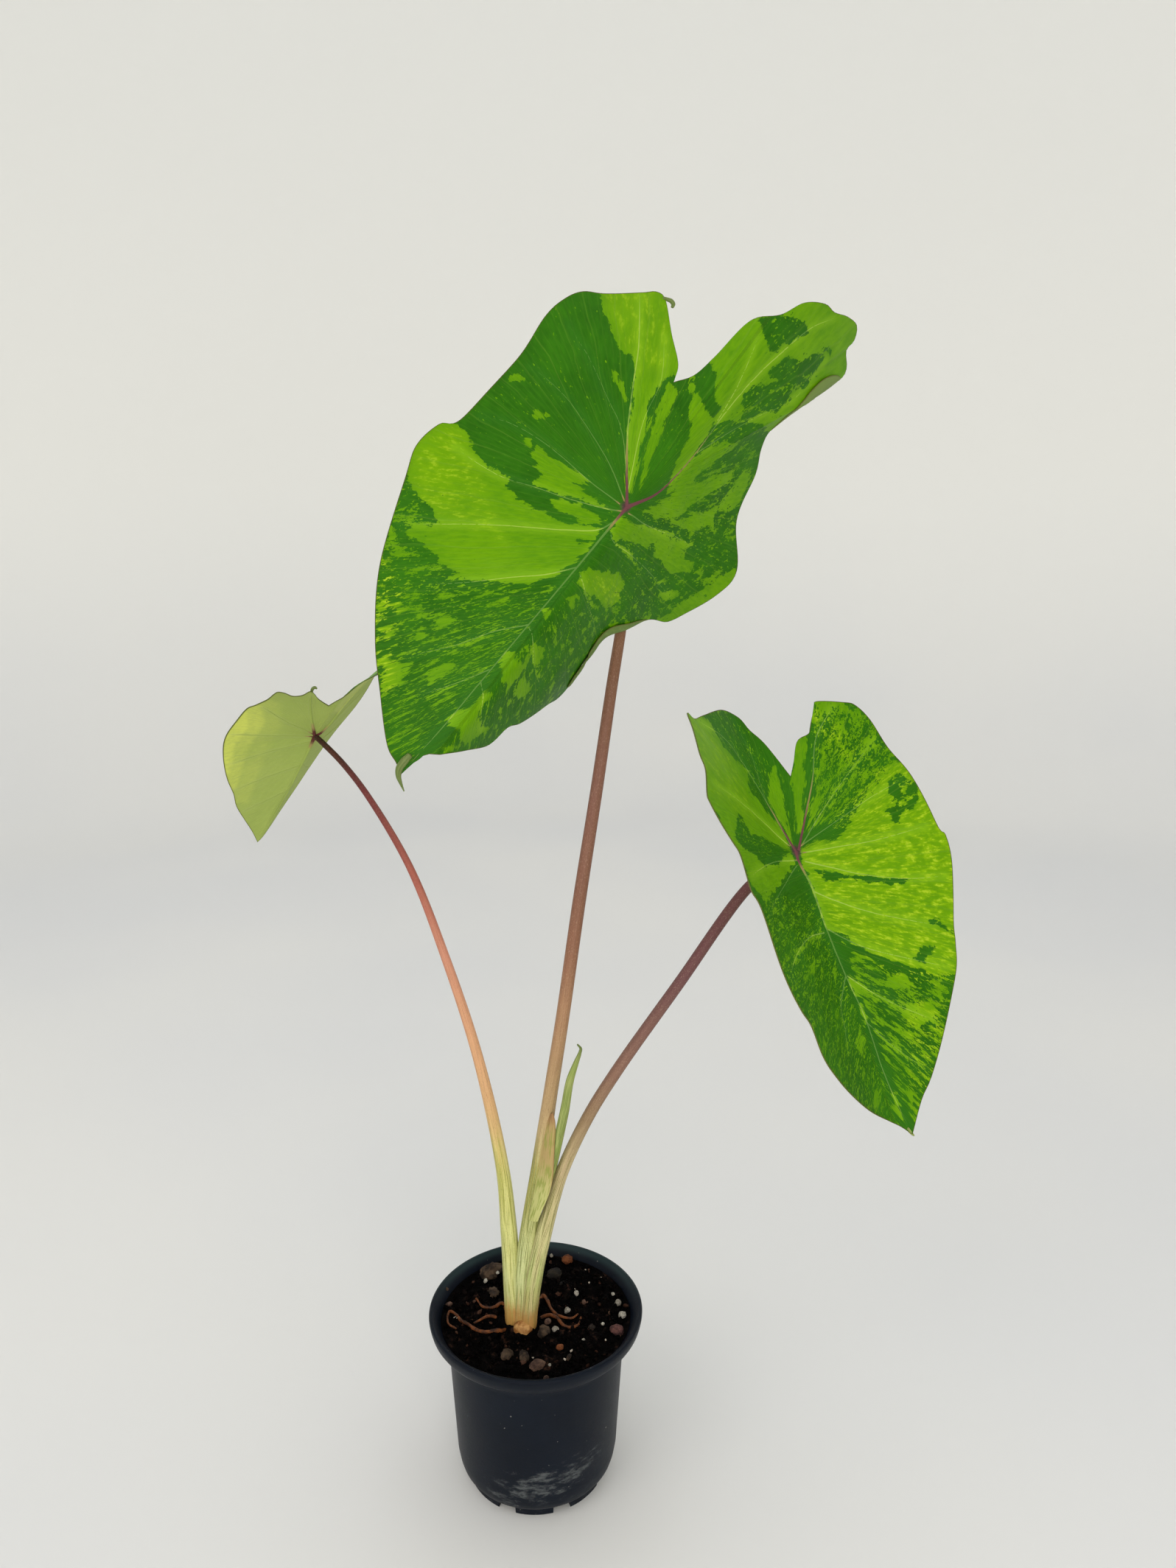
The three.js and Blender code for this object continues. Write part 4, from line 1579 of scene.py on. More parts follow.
        dress(piece, UPPER_VEIN if face is Face.UPPER else UNDER_VEIN)
        return piece

    def build(self) -> bpy.types.Object:
        """Makes the whole leaf: the blade, the ribs on both its faces, the flaps and the hooks.

        Returns:
            The leaf.
        """
        parts = [self.blade()]
        for vein, line in zip(self.veins, self.lines):
            parts += [self.rib(vein, line, face) for face in Face]
        parts += [self.flap(flap) for flap in self.flaps]
        for stations in self.drips:
            drip = tube("drip", *stations_line(stations, per_span=8), sides=16)
            dress(drip, NewLeafFinish())
            parts.append(drip)
        piece = joined(f"leaf_{self.name}", parts)
        smooth(piece)
        return hand_over(piece, self.slot, f"blade_{self.name}")


# The tallest leaf, whose upper face fills the view
TALL_LEAF = Leaf(
    name="tall",
    slot="blade",
    at=(56, -20, 631),
    turn=(-63, 46, -143),
    bend_tip=9.3,
    bend_lobes=(4.3, -0.5),
    fold=(6, 53),
    fold_change=(0, 13),
    change_length=150,
    curl=(2.7, 4.1),
    left=(
        (194, -9.5), (190, -15), (185, -25), (166, -44), (144, -64), (109, -87), (64, -104), (44, -111),
        (26, -109), (15, -101), (-34, -99), (-67, -102), (-85, -100), (-97, -95), (-105, -85), (-121, -68),
        (-127, -62), (-126, -55), (-109, -40), (-94, -26), (-82, -22),
    ),
    right=(
        (-82, -22), (-94, -15), (-113, -12), (-150, -8), (-167, 6), (-186, 15), (-201, 30), (-206, 41),
        (-217, 54), (-225, 68), (-220, 76), (-211, 76), (-208, 88), (-200, 90), (-181, 82), (-148, 69.5),
        (-126, 66), (-115, 71), (-102, 82), (-71, 91), (-54, 118), (-36, 121), (-15, 119), (0, 114),
        (16, 95), (48, 77), (64, 84), (77, 88), (87, 97), (98, 96), (108, 84), (129, 66), (137, 54),
        (152, 50), (163, 26), (174, -2), (182, -7), (188, -8.6), (194, -9.5),
    ),
    waves=((152, 16, -7), (110, 15, 9), (50, 12, -6)),
    ripple=1.2,
    ripples=6,
    veins=(
        Vein((
            (0, 0), (21, -1), (47, -2), (89, -4), (133, -6), (158, -7), (179, -8.6), (191, -9.4),
        ), 2.1, 14),
        Vein(((0, 0), (-36, -24), (-69, -41), (-86, -49), (-103, -59), (-119, -69)), 2.2, 34),
        Vein((
            (0, 0), (-21, 14), (-49, 19), (-99, 18), (-127, 20), (-154, 25), (-181, 32), (-204, 44),
        ), 2.5, 62),
        Vein(((-5, -3), (-37, -29), (-48, -46), (-61, -66), (-72, -89)), 0.9),
        Vein(((-2, -3), (-14, -21), (-24, -42), (-32, -62), (-35, -78), (-36, -90)), 0.9),
        Vein(((1, -4), (1, -28), (-1, -46), (-1, -64), (2, -81), (8, -93)), 0.9),
        Vein(((3, 0), (8, -8), (17, -28), (24, -48), (30, -64), (32, -79), (32, -94)), 1.0),
        Vein(((12, -1), (21, -5), (32, -18), (54, -50), (73, -75), (85, -90)), 1.1),
        Vein(((46, -2), (60, -13), (72, -26), (89, -43), (104, -60)), 1.0),
        Vein(((88, -4), (103, -17), (119, -27), (140, -44)), 0.9),
        Vein(((120, -6), (134, -14), (152, -26)), 0.7),
        Vein(((2, 4), (-4, 21), (-12, 36), (-22, 52), (-36, 80)), 1.0),
        Vein(((18, 2), (20, 8), (13, 30), (2, 62), (-6, 92)), 1.0),
        Vein(((48, 2), (52, 22), (54, 46), (54, 68)), 1.0),
        Vein(((89, -3), (95, 10), (101, 26), (106, 52)), 0.9),
        Vein(((128, -6), (138, 6), (148, 26)), 0.7),
        Vein(((-60, 20), (-90, 32), (-115, 43), (-148, 59), (-186, 62)), 0.9),
        Vein(((-84, 17), (-110, 12), (-142, 2)), 0.8),
        Vein(((-8, -5), (-50, -22), (-78, -28), (-104, -42)), 0.7),
    ),
    fans=(Fan(0.35, 0.013, 0.3), Fan(-0.6, 0.011, 0.45)),
    lime=(
        (
            (94, -52), (88, -50), (90, -60), (87, -72), (90, -87), (83, -86), (72, -76), (67, -90),
            (66, -96), (62, -106), (44, -114), (25, -114), (20, -101), (22, -93), (30, -79), (29, -60),
            (33, -59), (36, -49), (32, -30), (28, -17), (19, -5), (24, -3), (47, -5), (57, -9), (71, -18),
        ),
        (
            (23, -47), (16, -48), (9, -59), (3, -59), (1, -55), (3, -51), (1, -35), (1, -28), (2, -25),
            (8, -31), (8, -4), (13, -22),
        ),
        ((27, -29), (24, -37), (17, -26), (15, -5), (19, -6), (24, -15)),
        (
            (-8, -6), (-9, -3), (-38, -15), (-53, -20), (-59, -27), (-80, -27), (-95, -21), (-114, -33),
            (-134, -54), (-130, -70), (-115, -82), (-107, -89), (-93, -79), (-79, -58), (-80, -51),
            (-75, -45), (-62, -37), (-36, -25),
        ),
        ((-53, -34), (-54, -40), (-60, -51), (-64, -54), (-65, -51)),
        ((-19, -94), (-22, -96), (-26, -94), (-28, -89), (-25, -87)),
        ((-10, -69), (-12, -74), (-15, -72), (-16, -65)),
        ((6, -62), (5, -66), (2, -65)),
        ((97, -89), (91, -95), (87, -92)),
        ((104, -83), (102, -87), (97, -84), (97, -78)),
        ((134, -68), (129, -74), (125, -70)),
        ((126, -62), (124, -67), (118, -57)),
        ((140, -63), (138, -67), (133, -62), (132, -56)),
        ((118, -40), (117, -46), (111, -40), (108, -34)),
        ((133, -45), (129, -50), (124, -47), (124, -42)),
        ((164, -44), (157, -50), (151, -52), (144, -44), (144, -39), (154, -39)),
        ((148, -26), (140, -32), (131, -26), (128, -21)),
        ((121, 19), (120, 6), (114, -4), (107, -5), (105, -1), (107, 7), (106, 18), (112, 18)),
        ((109, 24), (98, 0), (98, 13)),
        ((122, 37), (115, 18), (110, 26), (111, 43)),
        ((101, 34), (100, 17), (94, 7), (90, 21)),
        ((81, 3), (77, -3), (72, 3)),
        ((67, 23), (63, 7), (57, 13)),
        (
            (52, 14), (52, 7), (47, 3), (41, 8), (36, 18), (25, 34), (25, 41), (26, 47), (29, 49),
            (32, 54), (39, 53), (43, 45),
        ),
        (
            (160, 21), (159, 8), (155, 2), (157, -4), (155, -8), (146, -5), (141, -2), (130, -1), (130, 7),
            (137, 6), (145, 12), (146, 19), (145, 33),
        ),
        ((170, 5), (168, -1), (159, 21)),
        (
            (-80, 14), (-86, 2), (-82, -6), (-91, -15), (-115, -17), (-150, -16), (-168, -4), (-198, 18),
            (-214, 36), (-234, 66), (-216, 86), (-204, 98), (-170, 82), (-146, 74), (-126, 70), (-112, 46),
            (-96, 30),
        ),
        ((-93, -15), (-80, 2), (-80, 16), (-56, 20), (-29, 20), (-41, 11), (-58, 6), (-71, -3), (-84, -13)),
        ((-80, -24), (-80, -16), (-60, -13), (-43, -8), (-13, 0), (-23, -6), (-39, -12), (-60, -19)),
        ((-38, 18), (-63, 22), (-84, 33), (-92, 45), (-77, 40), (-49, 31), (-26, 21)),
        (
            (-8, 15), (-24, 22), (-46, 30), (-64, 45), (-85, 60), (-78, 63), (-58, 53), (-45, 48),
            (-28, 43), (-14, 28),
        ),
        ((-66, 67), (-91, 68), (-100, 74), (-87, 83), (-70, 81), (-60, 71)),
        ((-23, 40), (-50, 60), (-61, 68), (-52, 74), (-33, 60)),
        ((-18, 108), (-34, 108), (-55, 116), (-49, 124), (-26, 126), (-2, 120), (14, 102), (0, 106)),
        (
            (19, 7), (16, 1), (9, -1), (2, 16), (-18, 43), (-19, 51), (-34, 72), (-25, 68), (-23, 73),
            (-29, 84), (-15, 81), (-10, 71), (-7, 60), (-1, 49), (-5, 47), (-5, 42), (3, 35),
        ),
        ((20, 11), (13, 26), (8, 59)),
        ((-1, 93), (-1, 84), (-11, 92), (-13, 101)),
        ((-32, 101), (-50, 119), (-43, 124)),
        ((-11, 118), (-12, 103), (-31, 121)),
    ),
    dark=(
        ((35, -9), (33, -11), (26, 0)),
        ((36, -49), (33, -59), (29, -60), (24, -52), (24, -37), (27, -29), (25, -15), (29, -20)),
        ((-100, -18), (-108, -14), (-102, -4), (-90, 3), (-89, 12), (-79, 14), (-81, 1), (-85, -8)),
        (
            (-153, -6), (-146, 6), (-141, 18), (-147, 22), (-153, 20), (-164, 26), (-179, 36), (-178, 25),
            (-164, 2),
        ),
        (
            (-132, 25), (-144, 27), (-156, 32), (-163, 43), (-176, 48), (-188, 59), (-171, 60), (-166, 63),
            (-156, 60), (-147, 46), (-139, 36),
        ),
        ((-180, 49), (-190, 52), (-197, 61), (-191, 62)),
        (
            (-110, 21), (-121, 23), (-131, 31), (-149, 47), (-166, 58), (-142, 56), (-132, 54), (-118, 44),
            (-100, 33),
        ),
    ),
    mottled=(
        Mottle(-0.9, 12, (
            (150, -74), (110, -98), (66, -112), (72, -92), (89, -62), (91, -47), (52, -1), (85, -2),
            (120, -4), (206, -8), (204, -26), (175, -50),
        )),
        Mottle(-0.9, 12, (
            (86, 5), (42, 15), (18, 62), (-28, 77), (-53, 106), (-42, 132), (-14, 132), (34, 94),
            (67, 100), (104, 122), (154, 62), (190, -2), (122, -2),
        )),
        Mottle(-1.0, 3.0, (
            (-9, 11), (-67, 26), (-119, 62), (-100, 100), (-73, 100), (-53, 112), (-15, 53), (0, 11),
        )),
        Mottle(-1.6, 2.0, ((-108, 24), (-130, 31), (-160, 50), (-166, 60), (-134, 55), (-102, 38))),
    ),
    speckled=(
        Zone(0.42, ((62, -112), (66, -96), (72, -76), (90, -87), (88, -104))),
        Zone(0.34, (
            (86, -100), (90, -60), (78, -20), (62, -4), (100, -2), (190, -12), (150, -70), (110, -98),
        )),
        Zone(0.22, ((60, 4), (190, -6), (165, 40), (110, 90), (60, 86), (44, 60))),
        Zone(0.26, ((4, 8), (46, 50), (40, 92), (0, 118), (-50, 120), (-100, 90), (-60, 40))),
        Zone(0.32, ((-20, 14), (-120, 20), (-190, 44), (-186, 64), (-120, 62), (-60, 40))),
        Zone(0.28, ((-150, -8), (-138, 18), (-166, 28), (-182, 38), (-184, 22), (-166, 0))),
        Zone(0.32, ((-10, 14), (-60, 30), (-110, 60), (-100, 90), (-50, 100), (-20, 60))),
        Zone(0.18, ((-23, 14), (-60, -26), (-92, -20), (-92, -8), (-50, 10))),
        Zone(0.12, ((-8, -56), (-50, -60), (-60, -100), (0, -100))),
    ),
    bright=(
        Zone(0.4, ((60, -40), (40, -70), (20, -100), (40, -112), (70, -95))),
        Zone(0.3, ((-70, -40), (-110, -90), (-134, -60), (-90, -28))),
        Zone(0.8, ((100, -110), (110, -70), (160, -40), (180, -60))),
        Zone(0.4, ((30, 30), (50, 6), (40, 54), (26, 52))),
    ),
    flaps=(
        Flap(((87, 95), (77, 87.5), (64, 83.5), (48, 77), (34, 84), (16, 94)), 9.0, 0.6),
        Flap(((-126, 66), (-148, 70), (-170, 77), (-184, 83), (-199, 89)), 9.0, 1.7),
    ),
    drips=(
        (
            (-60, -71.6, 501, 1.6), (-63, -72.4, 498, 2.2), (-65.8, -72.6, 494, 2.0),
            (-66.4, -72.6, 490, 1.5), (-65.4, -72.4, 486, 0.9), (-63.7, -72.4, 481.5, 0.3),
        ),
        (
            (78.4, 40.8, 752.8, 0.9), (81.1, 40.5, 751.9, 1.1), (83.2, 40.4, 751, 1.3),
            (84.4, 40.4, 749.3, 1.3), (83.8, 40.4, 747.4, 0.8),
        ),
    ),
)


# The leaf on the right, half of it bright yellow-green
RIGHT_LEAF = Leaf(
    name="right",
    slot="blade",
    at=(155, -30, 437),
    turn=(17, 59, -48),
    bend_tip=6.1,
    bend_lobes=(2, 1.2),
    fold=(-36, -12),
    fold_change=(0, 0),
    change_length=150,
    curl=(-6, 4.6),
    left=(
        (171, 10), (161, 0), (145, -24), (121, -51), (105, -65), (88, -67), (79, -72), (62, -76),
        (26, -78), (15, -83), (-3, -75), (-11, -77), (-33, -88), (-38, -88), (-52, -78), (-61, -77),
        (-77, -69), (-87, -66), (-84, -59), (-87, -45), (-92, -17), (-87, -2), (-77, 3), (-66, 9),
        (-43, 16),
    ),
    right=(
        (-43, 16), (-50, 21), (-62, 29), (-65, 39), (-76, 44), (-82, 50), (-76, 68), (-72, 74), (-61, 79),
        (-42, 83), (-21, 90), (13, 92), (20, 95), (37, 92), (67, 78), (80, 74), (96, 68), (124, 48),
        (145, 32), (155, 22), (171, 10),
    ),
    waves=(),
    ripple=1,
    ripples=5,
    veins=(
        Vein(((0, 0), (5, -1), (21, 1), (45, 0), (74, 1), (101, 4), (129, 4), (150, 6), (167, 9)), 2.4, 12),
        Vein(((0, 0), (-23, -6), (-47, -13), (-72, -27), (-83, -54)), 1.9, 26),
        Vein(((0, 2), (-22, 18), (-38, 29), (-60, 41), (-75, 59)), 1.9, 40),
        Vein(((2, 4), (5, 24), (9, 50), (11, 84)), 0.9),
        Vein(((7, 3), (15, 17), (24, 32), (36, 60), (42, 84)), 1.0),
        Vein(((25, 1), (37, 16), (48, 32), (66, 65)), 1.0),
        Vein(((48, 1), (57, 10), (66, 21), (91, 64)), 1.0),
        Vein(((76, 2), (94, 18), (116, 44)), 0.9),
        Vein(((104, 4), (120, 14), (140, 30)), 0.7),
        Vein(((-2, 5), (-20, 30), (-40, 62), (-48, 76)), 0.9),
        Vein(((-2, 4), (-9, 32), (-16, 60), (-20, 84)), 0.9),
        Vein(((5, -2), (3, -27), (6, -58), (9, -75)), 0.9),
        Vein(((8, -4), (17, -29), (23, -49), (30, -70)), 0.8),
        Vein(((49, -3), (48, -17), (50, -35), (56, -56), (62, -70)), 1.0),
        Vein(((76, 1), (82, -5), (91, -15), (102, -19), (112, -26)), 0.9),
        Vein(((-4, -3), (-22, -24), (-36, -50), (-44, -74)), 0.9),
        Vein(((-4, -2), (-34, -8), (-64, -4), (-84, -8)), 0.7),
    ),
    fans=(Fan(0.0, 0.005), Fan(0.1, 0.012)),
    lime=(
        (
            (24, -67), (20, -73), (14, -80), (-1, -78), (-26, -82), (-36, -94), (-54, -82), (-65, -82),
            (-79, -74), (-92, -71), (-92, -65), (-84, -40), (-73, -36), (-67, -36), (-52, -15), (-47, -21),
            (-40, -25), (-35, -18), (-27, -14), (-19, -6), (-8, -4), (7, -5),
        ),
        ((-5, 0), (-30, -6), (-35, -5), (-49, 4), (-52, 10)),
        ((-9, 9), (-10, 5), (-42, 16), (-63, 28), (-64, 36)),
        ((-8, 12), (-27, 23), (-28, 34)),
        ((-67, 71), (-72, 58), (-67, 47), (-71, 42), (-86, 46), (-82, 66)),
        ((-56, 60), (-64, 54), (-63, 62)),
        ((-42, 80), (-42, 73), (-48, 73)),
        ((-39, 55), (-47, 55), (-46, 62)),
        ((-37, 31), (-43, 32), (-42, 37)),
        (
            (97, 66), (93, 58), (91, 52), (68, 21), (52, 7), (47, 0), (10, 1), (-1, 4), (-1, 16), (1, 27),
            (-2, 34), (-21, 59), (-26, 63), (-31, 82), (-29, 92), (28, 101), (50, 97), (98, 76),
        ),
        ((93, 39), (92, 27), (88, 22), (84, 23), (84, 28), (85, 35)),
        ((119, 33), (111, 26), (106, 24), (105, 29), (102, 34), (103, 41), (107, 47), (112, 49)),
        ((91, 17), (88, 3), (82, 2), (76, 3)),
        ((103, 4), (98, 2), (93, 4), (98, 6)),
        ((120, -9), (114, -14), (110, -14), (107, -3), (112, -2)),
        ((148, -13), (139, -11), (141, -4)),
        ((154, 4), (145, 5), (146, 9)),
        ((156, 14), (148, 14), (149, 19)),
        ((50, -9), (43, -7), (44, -2)),
        ((50, -31), (48, -17), (49, -5), (51, -27), (52, -38), (57, -57), (58, -63), (54, -55), (51, -45)),
        ((61, -29), (62, -37), (67, -48), (67, -43), (65, -34)),
        ((69, -5), (74, -9), (75, -13), (71, -12), (69, -8)),
        ((107, -11), (110, -1), (115, -2), (120, -11), (115, -12), (111, -13)),
        ((140, -9), (145, -6), (149, -10), (148, -16), (143, -15)),
        ((144, 5), (150, 7), (160, 6), (155, 4), (148, 5)),
        ((148, 17), (153, 18), (157, 14), (153, 13)),
    ),
    dark=(
        (
            (5, -27), (4, -47), (-2, -55), (-7, -68), (-13, -73), (-28, -55), (-21, -51), (-14, -49),
            (-10, -30), (-1, -5),
        ),
        ((-12, 81), (-13, 72), (-21, 73), (-24, 79), (-22, 87)),
        ((4, 69), (4, 66), (-6, 65), (-8, 71), (-9, 79)),
        ((38, 61), (36, 53), (37, 47), (32, 41), (25, 27), (23, 15), (19, 10), (14, 7)),
        ((73, 74), (64, 62), (61, 66)),
        ((84, 51), (83, 47), (80, 45), (76, 52), (77, 62)),
    ),
    mottled=(
        Mottle(-0.3, 1.5, (
            (-90, 44), (-88, 70), (-60, 94), (-17, 98), (0, 96), (7, 68), (-8, 65), (-26, 75), (-16, 53),
            (-6, 22), (-4, 10), (-23, 19), (-58, 39),
        )),
        Mottle(-0.3, 3, (
            (50, 4), (67, 20), (87, 37), (96, 74), (116, 64), (140, 46), (178, 12), (137, 5), (99, 3),
        )),
        Mottle(-1.3, 6, (
            (21, -78), (21, -2), (51, 1), (100, 2), (137, 5), (178, 8), (150, -28), (95, -76), (57, -84),
        )),
        Mottle(-1.9, 12, ((-96, -43), (-98, -4), (-45, 20), (-24, -8), (-45, -20), (-67, -30))),
        Mottle(-3, -0.7, ((-22, 73), (-21, 96), (-2, 90), (4, 70), (-1, 63))),
    ),
    speckled=(
        Zone(0.44, ((-12, 20), (-84, 46), (-76, 78), (-44, 92), (-24, 80), (-2, 34))),
        Zone(0.34, ((64, 4), (170, 12), (110, 62), (92, 62), (84, 40))),
        Zone(0.38, ((14, -70), (30, -4), (180, 8), (130, -54), (60, -90))),
        Zone(0.3, ((5, -27), (-13, -73), (-28, -55), (-10, -30))),
        Zone(0.28, ((-40, 14), (-30, -24), (-90, -60), (-98, -10))),
    ),
    bright=(
        Zone(0.75, ((0, 4), (0, 90), (40, 104), (104, 74), (92, 36), (50, 2))),
        Zone(0.6, ((-2, 20), (-30, 66), (-30, 92), (10, 96))),
        Zone(0.6, ((-60, 60), (-86, 46), (-70, 40), (-30, 60))),
        Zone(0.6, ((100, 30), (170, 12), (110, 60))),
        Zone(0.25, ((-20, -30), (-40, -90), (-90, -70), (-60, -30))),
    ),
    drips=(
        (
            (214.4, -78.4, 289, 0.8), (216, -78.2, 286.8, 1.0), (217.4, -78.1, 285.2, 0.8),
            (218.6, -78.1, 284, 0.4),
        ),
    ),
)


# The small leaf on the left, seen from below
LEFT_LEAF = Leaf(
    name="left",
    slot="blade_under",
    at=(-163, 140, 478),
    turn=(30, 47, 140),
    bend_tip=7,
    bend_lobes=(30, 50),
    fold=(-62, 14),
    fold_change=(-4, 0),
    change_length=60,
    curl=(12, 1),
    left=(
        (118, 0), (106, -9), (79, -27), (45, -48), (20, -58), (0, -60), (-20, -57), (-40, -50), (-58, -42),
        (-78, -28), (-100, -17), (-108, -9), (-92, -4), (-60, -2), (-36, 4),
    ),
    right=(
        (-36, 4), (-39, 9), (-44, 15), (-51, 20), (-57, 25), (-49, 28), (-47, 34), (-52, 41), (-53, 46),
        (-47, 47), (-36, 48), (-27, 53), (-21, 58), (-3, 61), (10, 62), (23, 60), (40, 54), (56, 46),
        (71, 36), (84, 29), (97, 18), (107, 9), (113, 4), (118, 0),
    ),
    waves=(),
    ripple=0.8,
    ripples=4,
    veins=(
        Vein(((0, 0), (27, -4), (70, -8), (102, -4), (115, 0)), 1.8, 10),
        Vein(((0, 0), (-10, -12), (-40, -18), (-80, -16), (-102, -12)), 1.5, 10),
        Vein(((0, 0), (-16, 9), (-34, 17), (-52, 23)), 1.6, 12),
        Vein(((-1, 1), (-10, 25), (-25, 48)), 0.6),
        Vein(((1, 1), (6, 28), (9, 58)), 0.6),
        Vein(((6, 0), (23, 26), (40, 50)), 0.6),
        Vein(((30, -4), (48, 16), (66, 36)), 0.6),
        Vein(((56, -6), (72, 8), (88, 22)), 0.5),
        Vein(((4, -2), (10, -28), (12, -56)), 0.6),
        Vein(((30, -5), (44, -24), (54, -40)), 0.6),
        Vein(((0, -2), (-14, -28), (-26, -50)), 0.6),
    ),
    fans=(Fan(0.3, 0.012), Fan(0.3, 0.012)),
    lime=(((-108, -20), (-60, -30), (-20, -20), (-30, -4), (-90, -2)),),
    speckled=(Zone(0.25, ((-50, 50), (110, 30), (110, -30), (-50, -50))),),
    bright=(
        Zone(0.9, ((-30, 70), (-20, 56), (0, 48), (20, 50), (50, 44), (60, 60), (20, 76))),
        Zone(0.6, ((-36, 70), (-28, 48), (-6, 38), (24, 40), (66, 34), (74, 50), (30, 76))),
        Zone(0.35, ((-44, 60), (-34, 38), (-6, 26), (30, 26), (80, 20), (84, 44), (30, 76))),
    ),
    drips=(
        (
            (-153, 97.2, 513.8, 0.8), (-152.8, 97, 515.4, 1.0), (-152, 96.8, 517, 1.1),
            (-150.5, 96.7, 517.8, 1.0), (-149.2, 96.7, 516.9, 0.6),
        ),
    ),
    rays=300,
    rings=54,
)


# The ridges round a stalk: how many, where they start and how high they are
RIDGES = ((9, 0.0, 0.6), (5, 1.0, 0.8), (17, 0.0, 0.3))


@dataclass
class Petiole:
    """A leaf stalk: stations along its middle with the radius there, and its skin."""

    name: str
    slot: str
    finish: PetioleFinish
    stations: tuple[Station, ...]
    slimness: float = 0.985
    ridge: float = 0.035
    sheathed_to: float = 260.0
    sheath_fade: float = 110.0
    least_ridge: float = 0.15
    sides: int = 48
    per_span: int = 14

    def build(self) -> bpy.types.Object:
        """Makes the stalk, ribbed lengthwise where it sheathes the others.

        Returns:
            The stalk.
        """
        middles, radii = stations_line(self.stations, self.per_span)
        angle = np.linspace(0, 2 * math.pi, self.sides + 1)
        low = np.clip((self.sheathed_to - middles[:, 2]) / self.sheath_fade, self.least_ridge, 1)[:, None]
        ridges = sum(np.sin(count * angle + start) * height for count, start, height in RIDGES)
        shaped = radii[:, None] * (self.slimness + self.ridge * low * ridges[None] * 0.5)
        piece = tube(f"stalk_{self.name}", middles, shaped, self.sides)
        dress(piece, self.finish)
        smooth(piece, angle=60)
        return hand_over(piece, self.slot, f"petiole_{self.name}")


PETIOLES = (
    Petiole(
        "tall",
        "petiole_tan",
        PETIOLE_TALL,
        (
            (-8, -9, 102, 6), (-8, -9, 116, 6.8), (-5, -8, 162, 6.6), (3, -7, 219, 5.4),
            (10, -5.5, 267, 4.6), (18.5, 0, 321, 4.3), (29, 10, 394, 4.2), (40, 20.5, 464, 3.9),
            (49.5, 30, 528, 3.6), (55, 34, 563, 3.4), (57.5, 26.5, 589, 3.3), (58, 13, 606, 3.2),
            (57.5, -2, 618, 3.2), (57, -12, 625.5, 3.1), (56.3, -17.6, 629, 2.3),
        ),
    ),
    Petiole(
        "right",
        "petiole_mauve",
        PETIOLE_RIGHT,
        (
            (-4, -13, 103, 4.8), (-4, -13, 116, 5.4), (0, -14, 150, 5.5), (6, -13.5, 178, 5.1),
            (17.5, -13, 221, 4.2), (34, -12, 259, 3.9), (52, -11, 290, 3.8), (90, -9, 347, 3.6),
            (130, -10, 408, 3.3), (145, -16, 424, 3.2), (152, -23.5, 432, 3.2), (154.4, -28.4, 435.8, 2.2),
        ),
    ),
    Petiole(
        "left",
        "petiole_orange",
        PETIOLE_LEFT,
        (
            (-14.5, -8, 103, 5), (-14.5, -8, 116, 5.6), (-15, -7, 137, 5.8), (-17, -3, 175, 5.5),
            (-21, 3, 216, 4.4), (-37, 19, 285, 3.5), (-60, 44, 345, 3), (-86, 71, 399, 2.5),
            (-119, 102, 442, 2.2), (-139, 120, 461, 2.1), (-155, 134, 472.5, 2.1),
            (-162, 139.3, 477.2, 2.0),
        ),
    ),
)


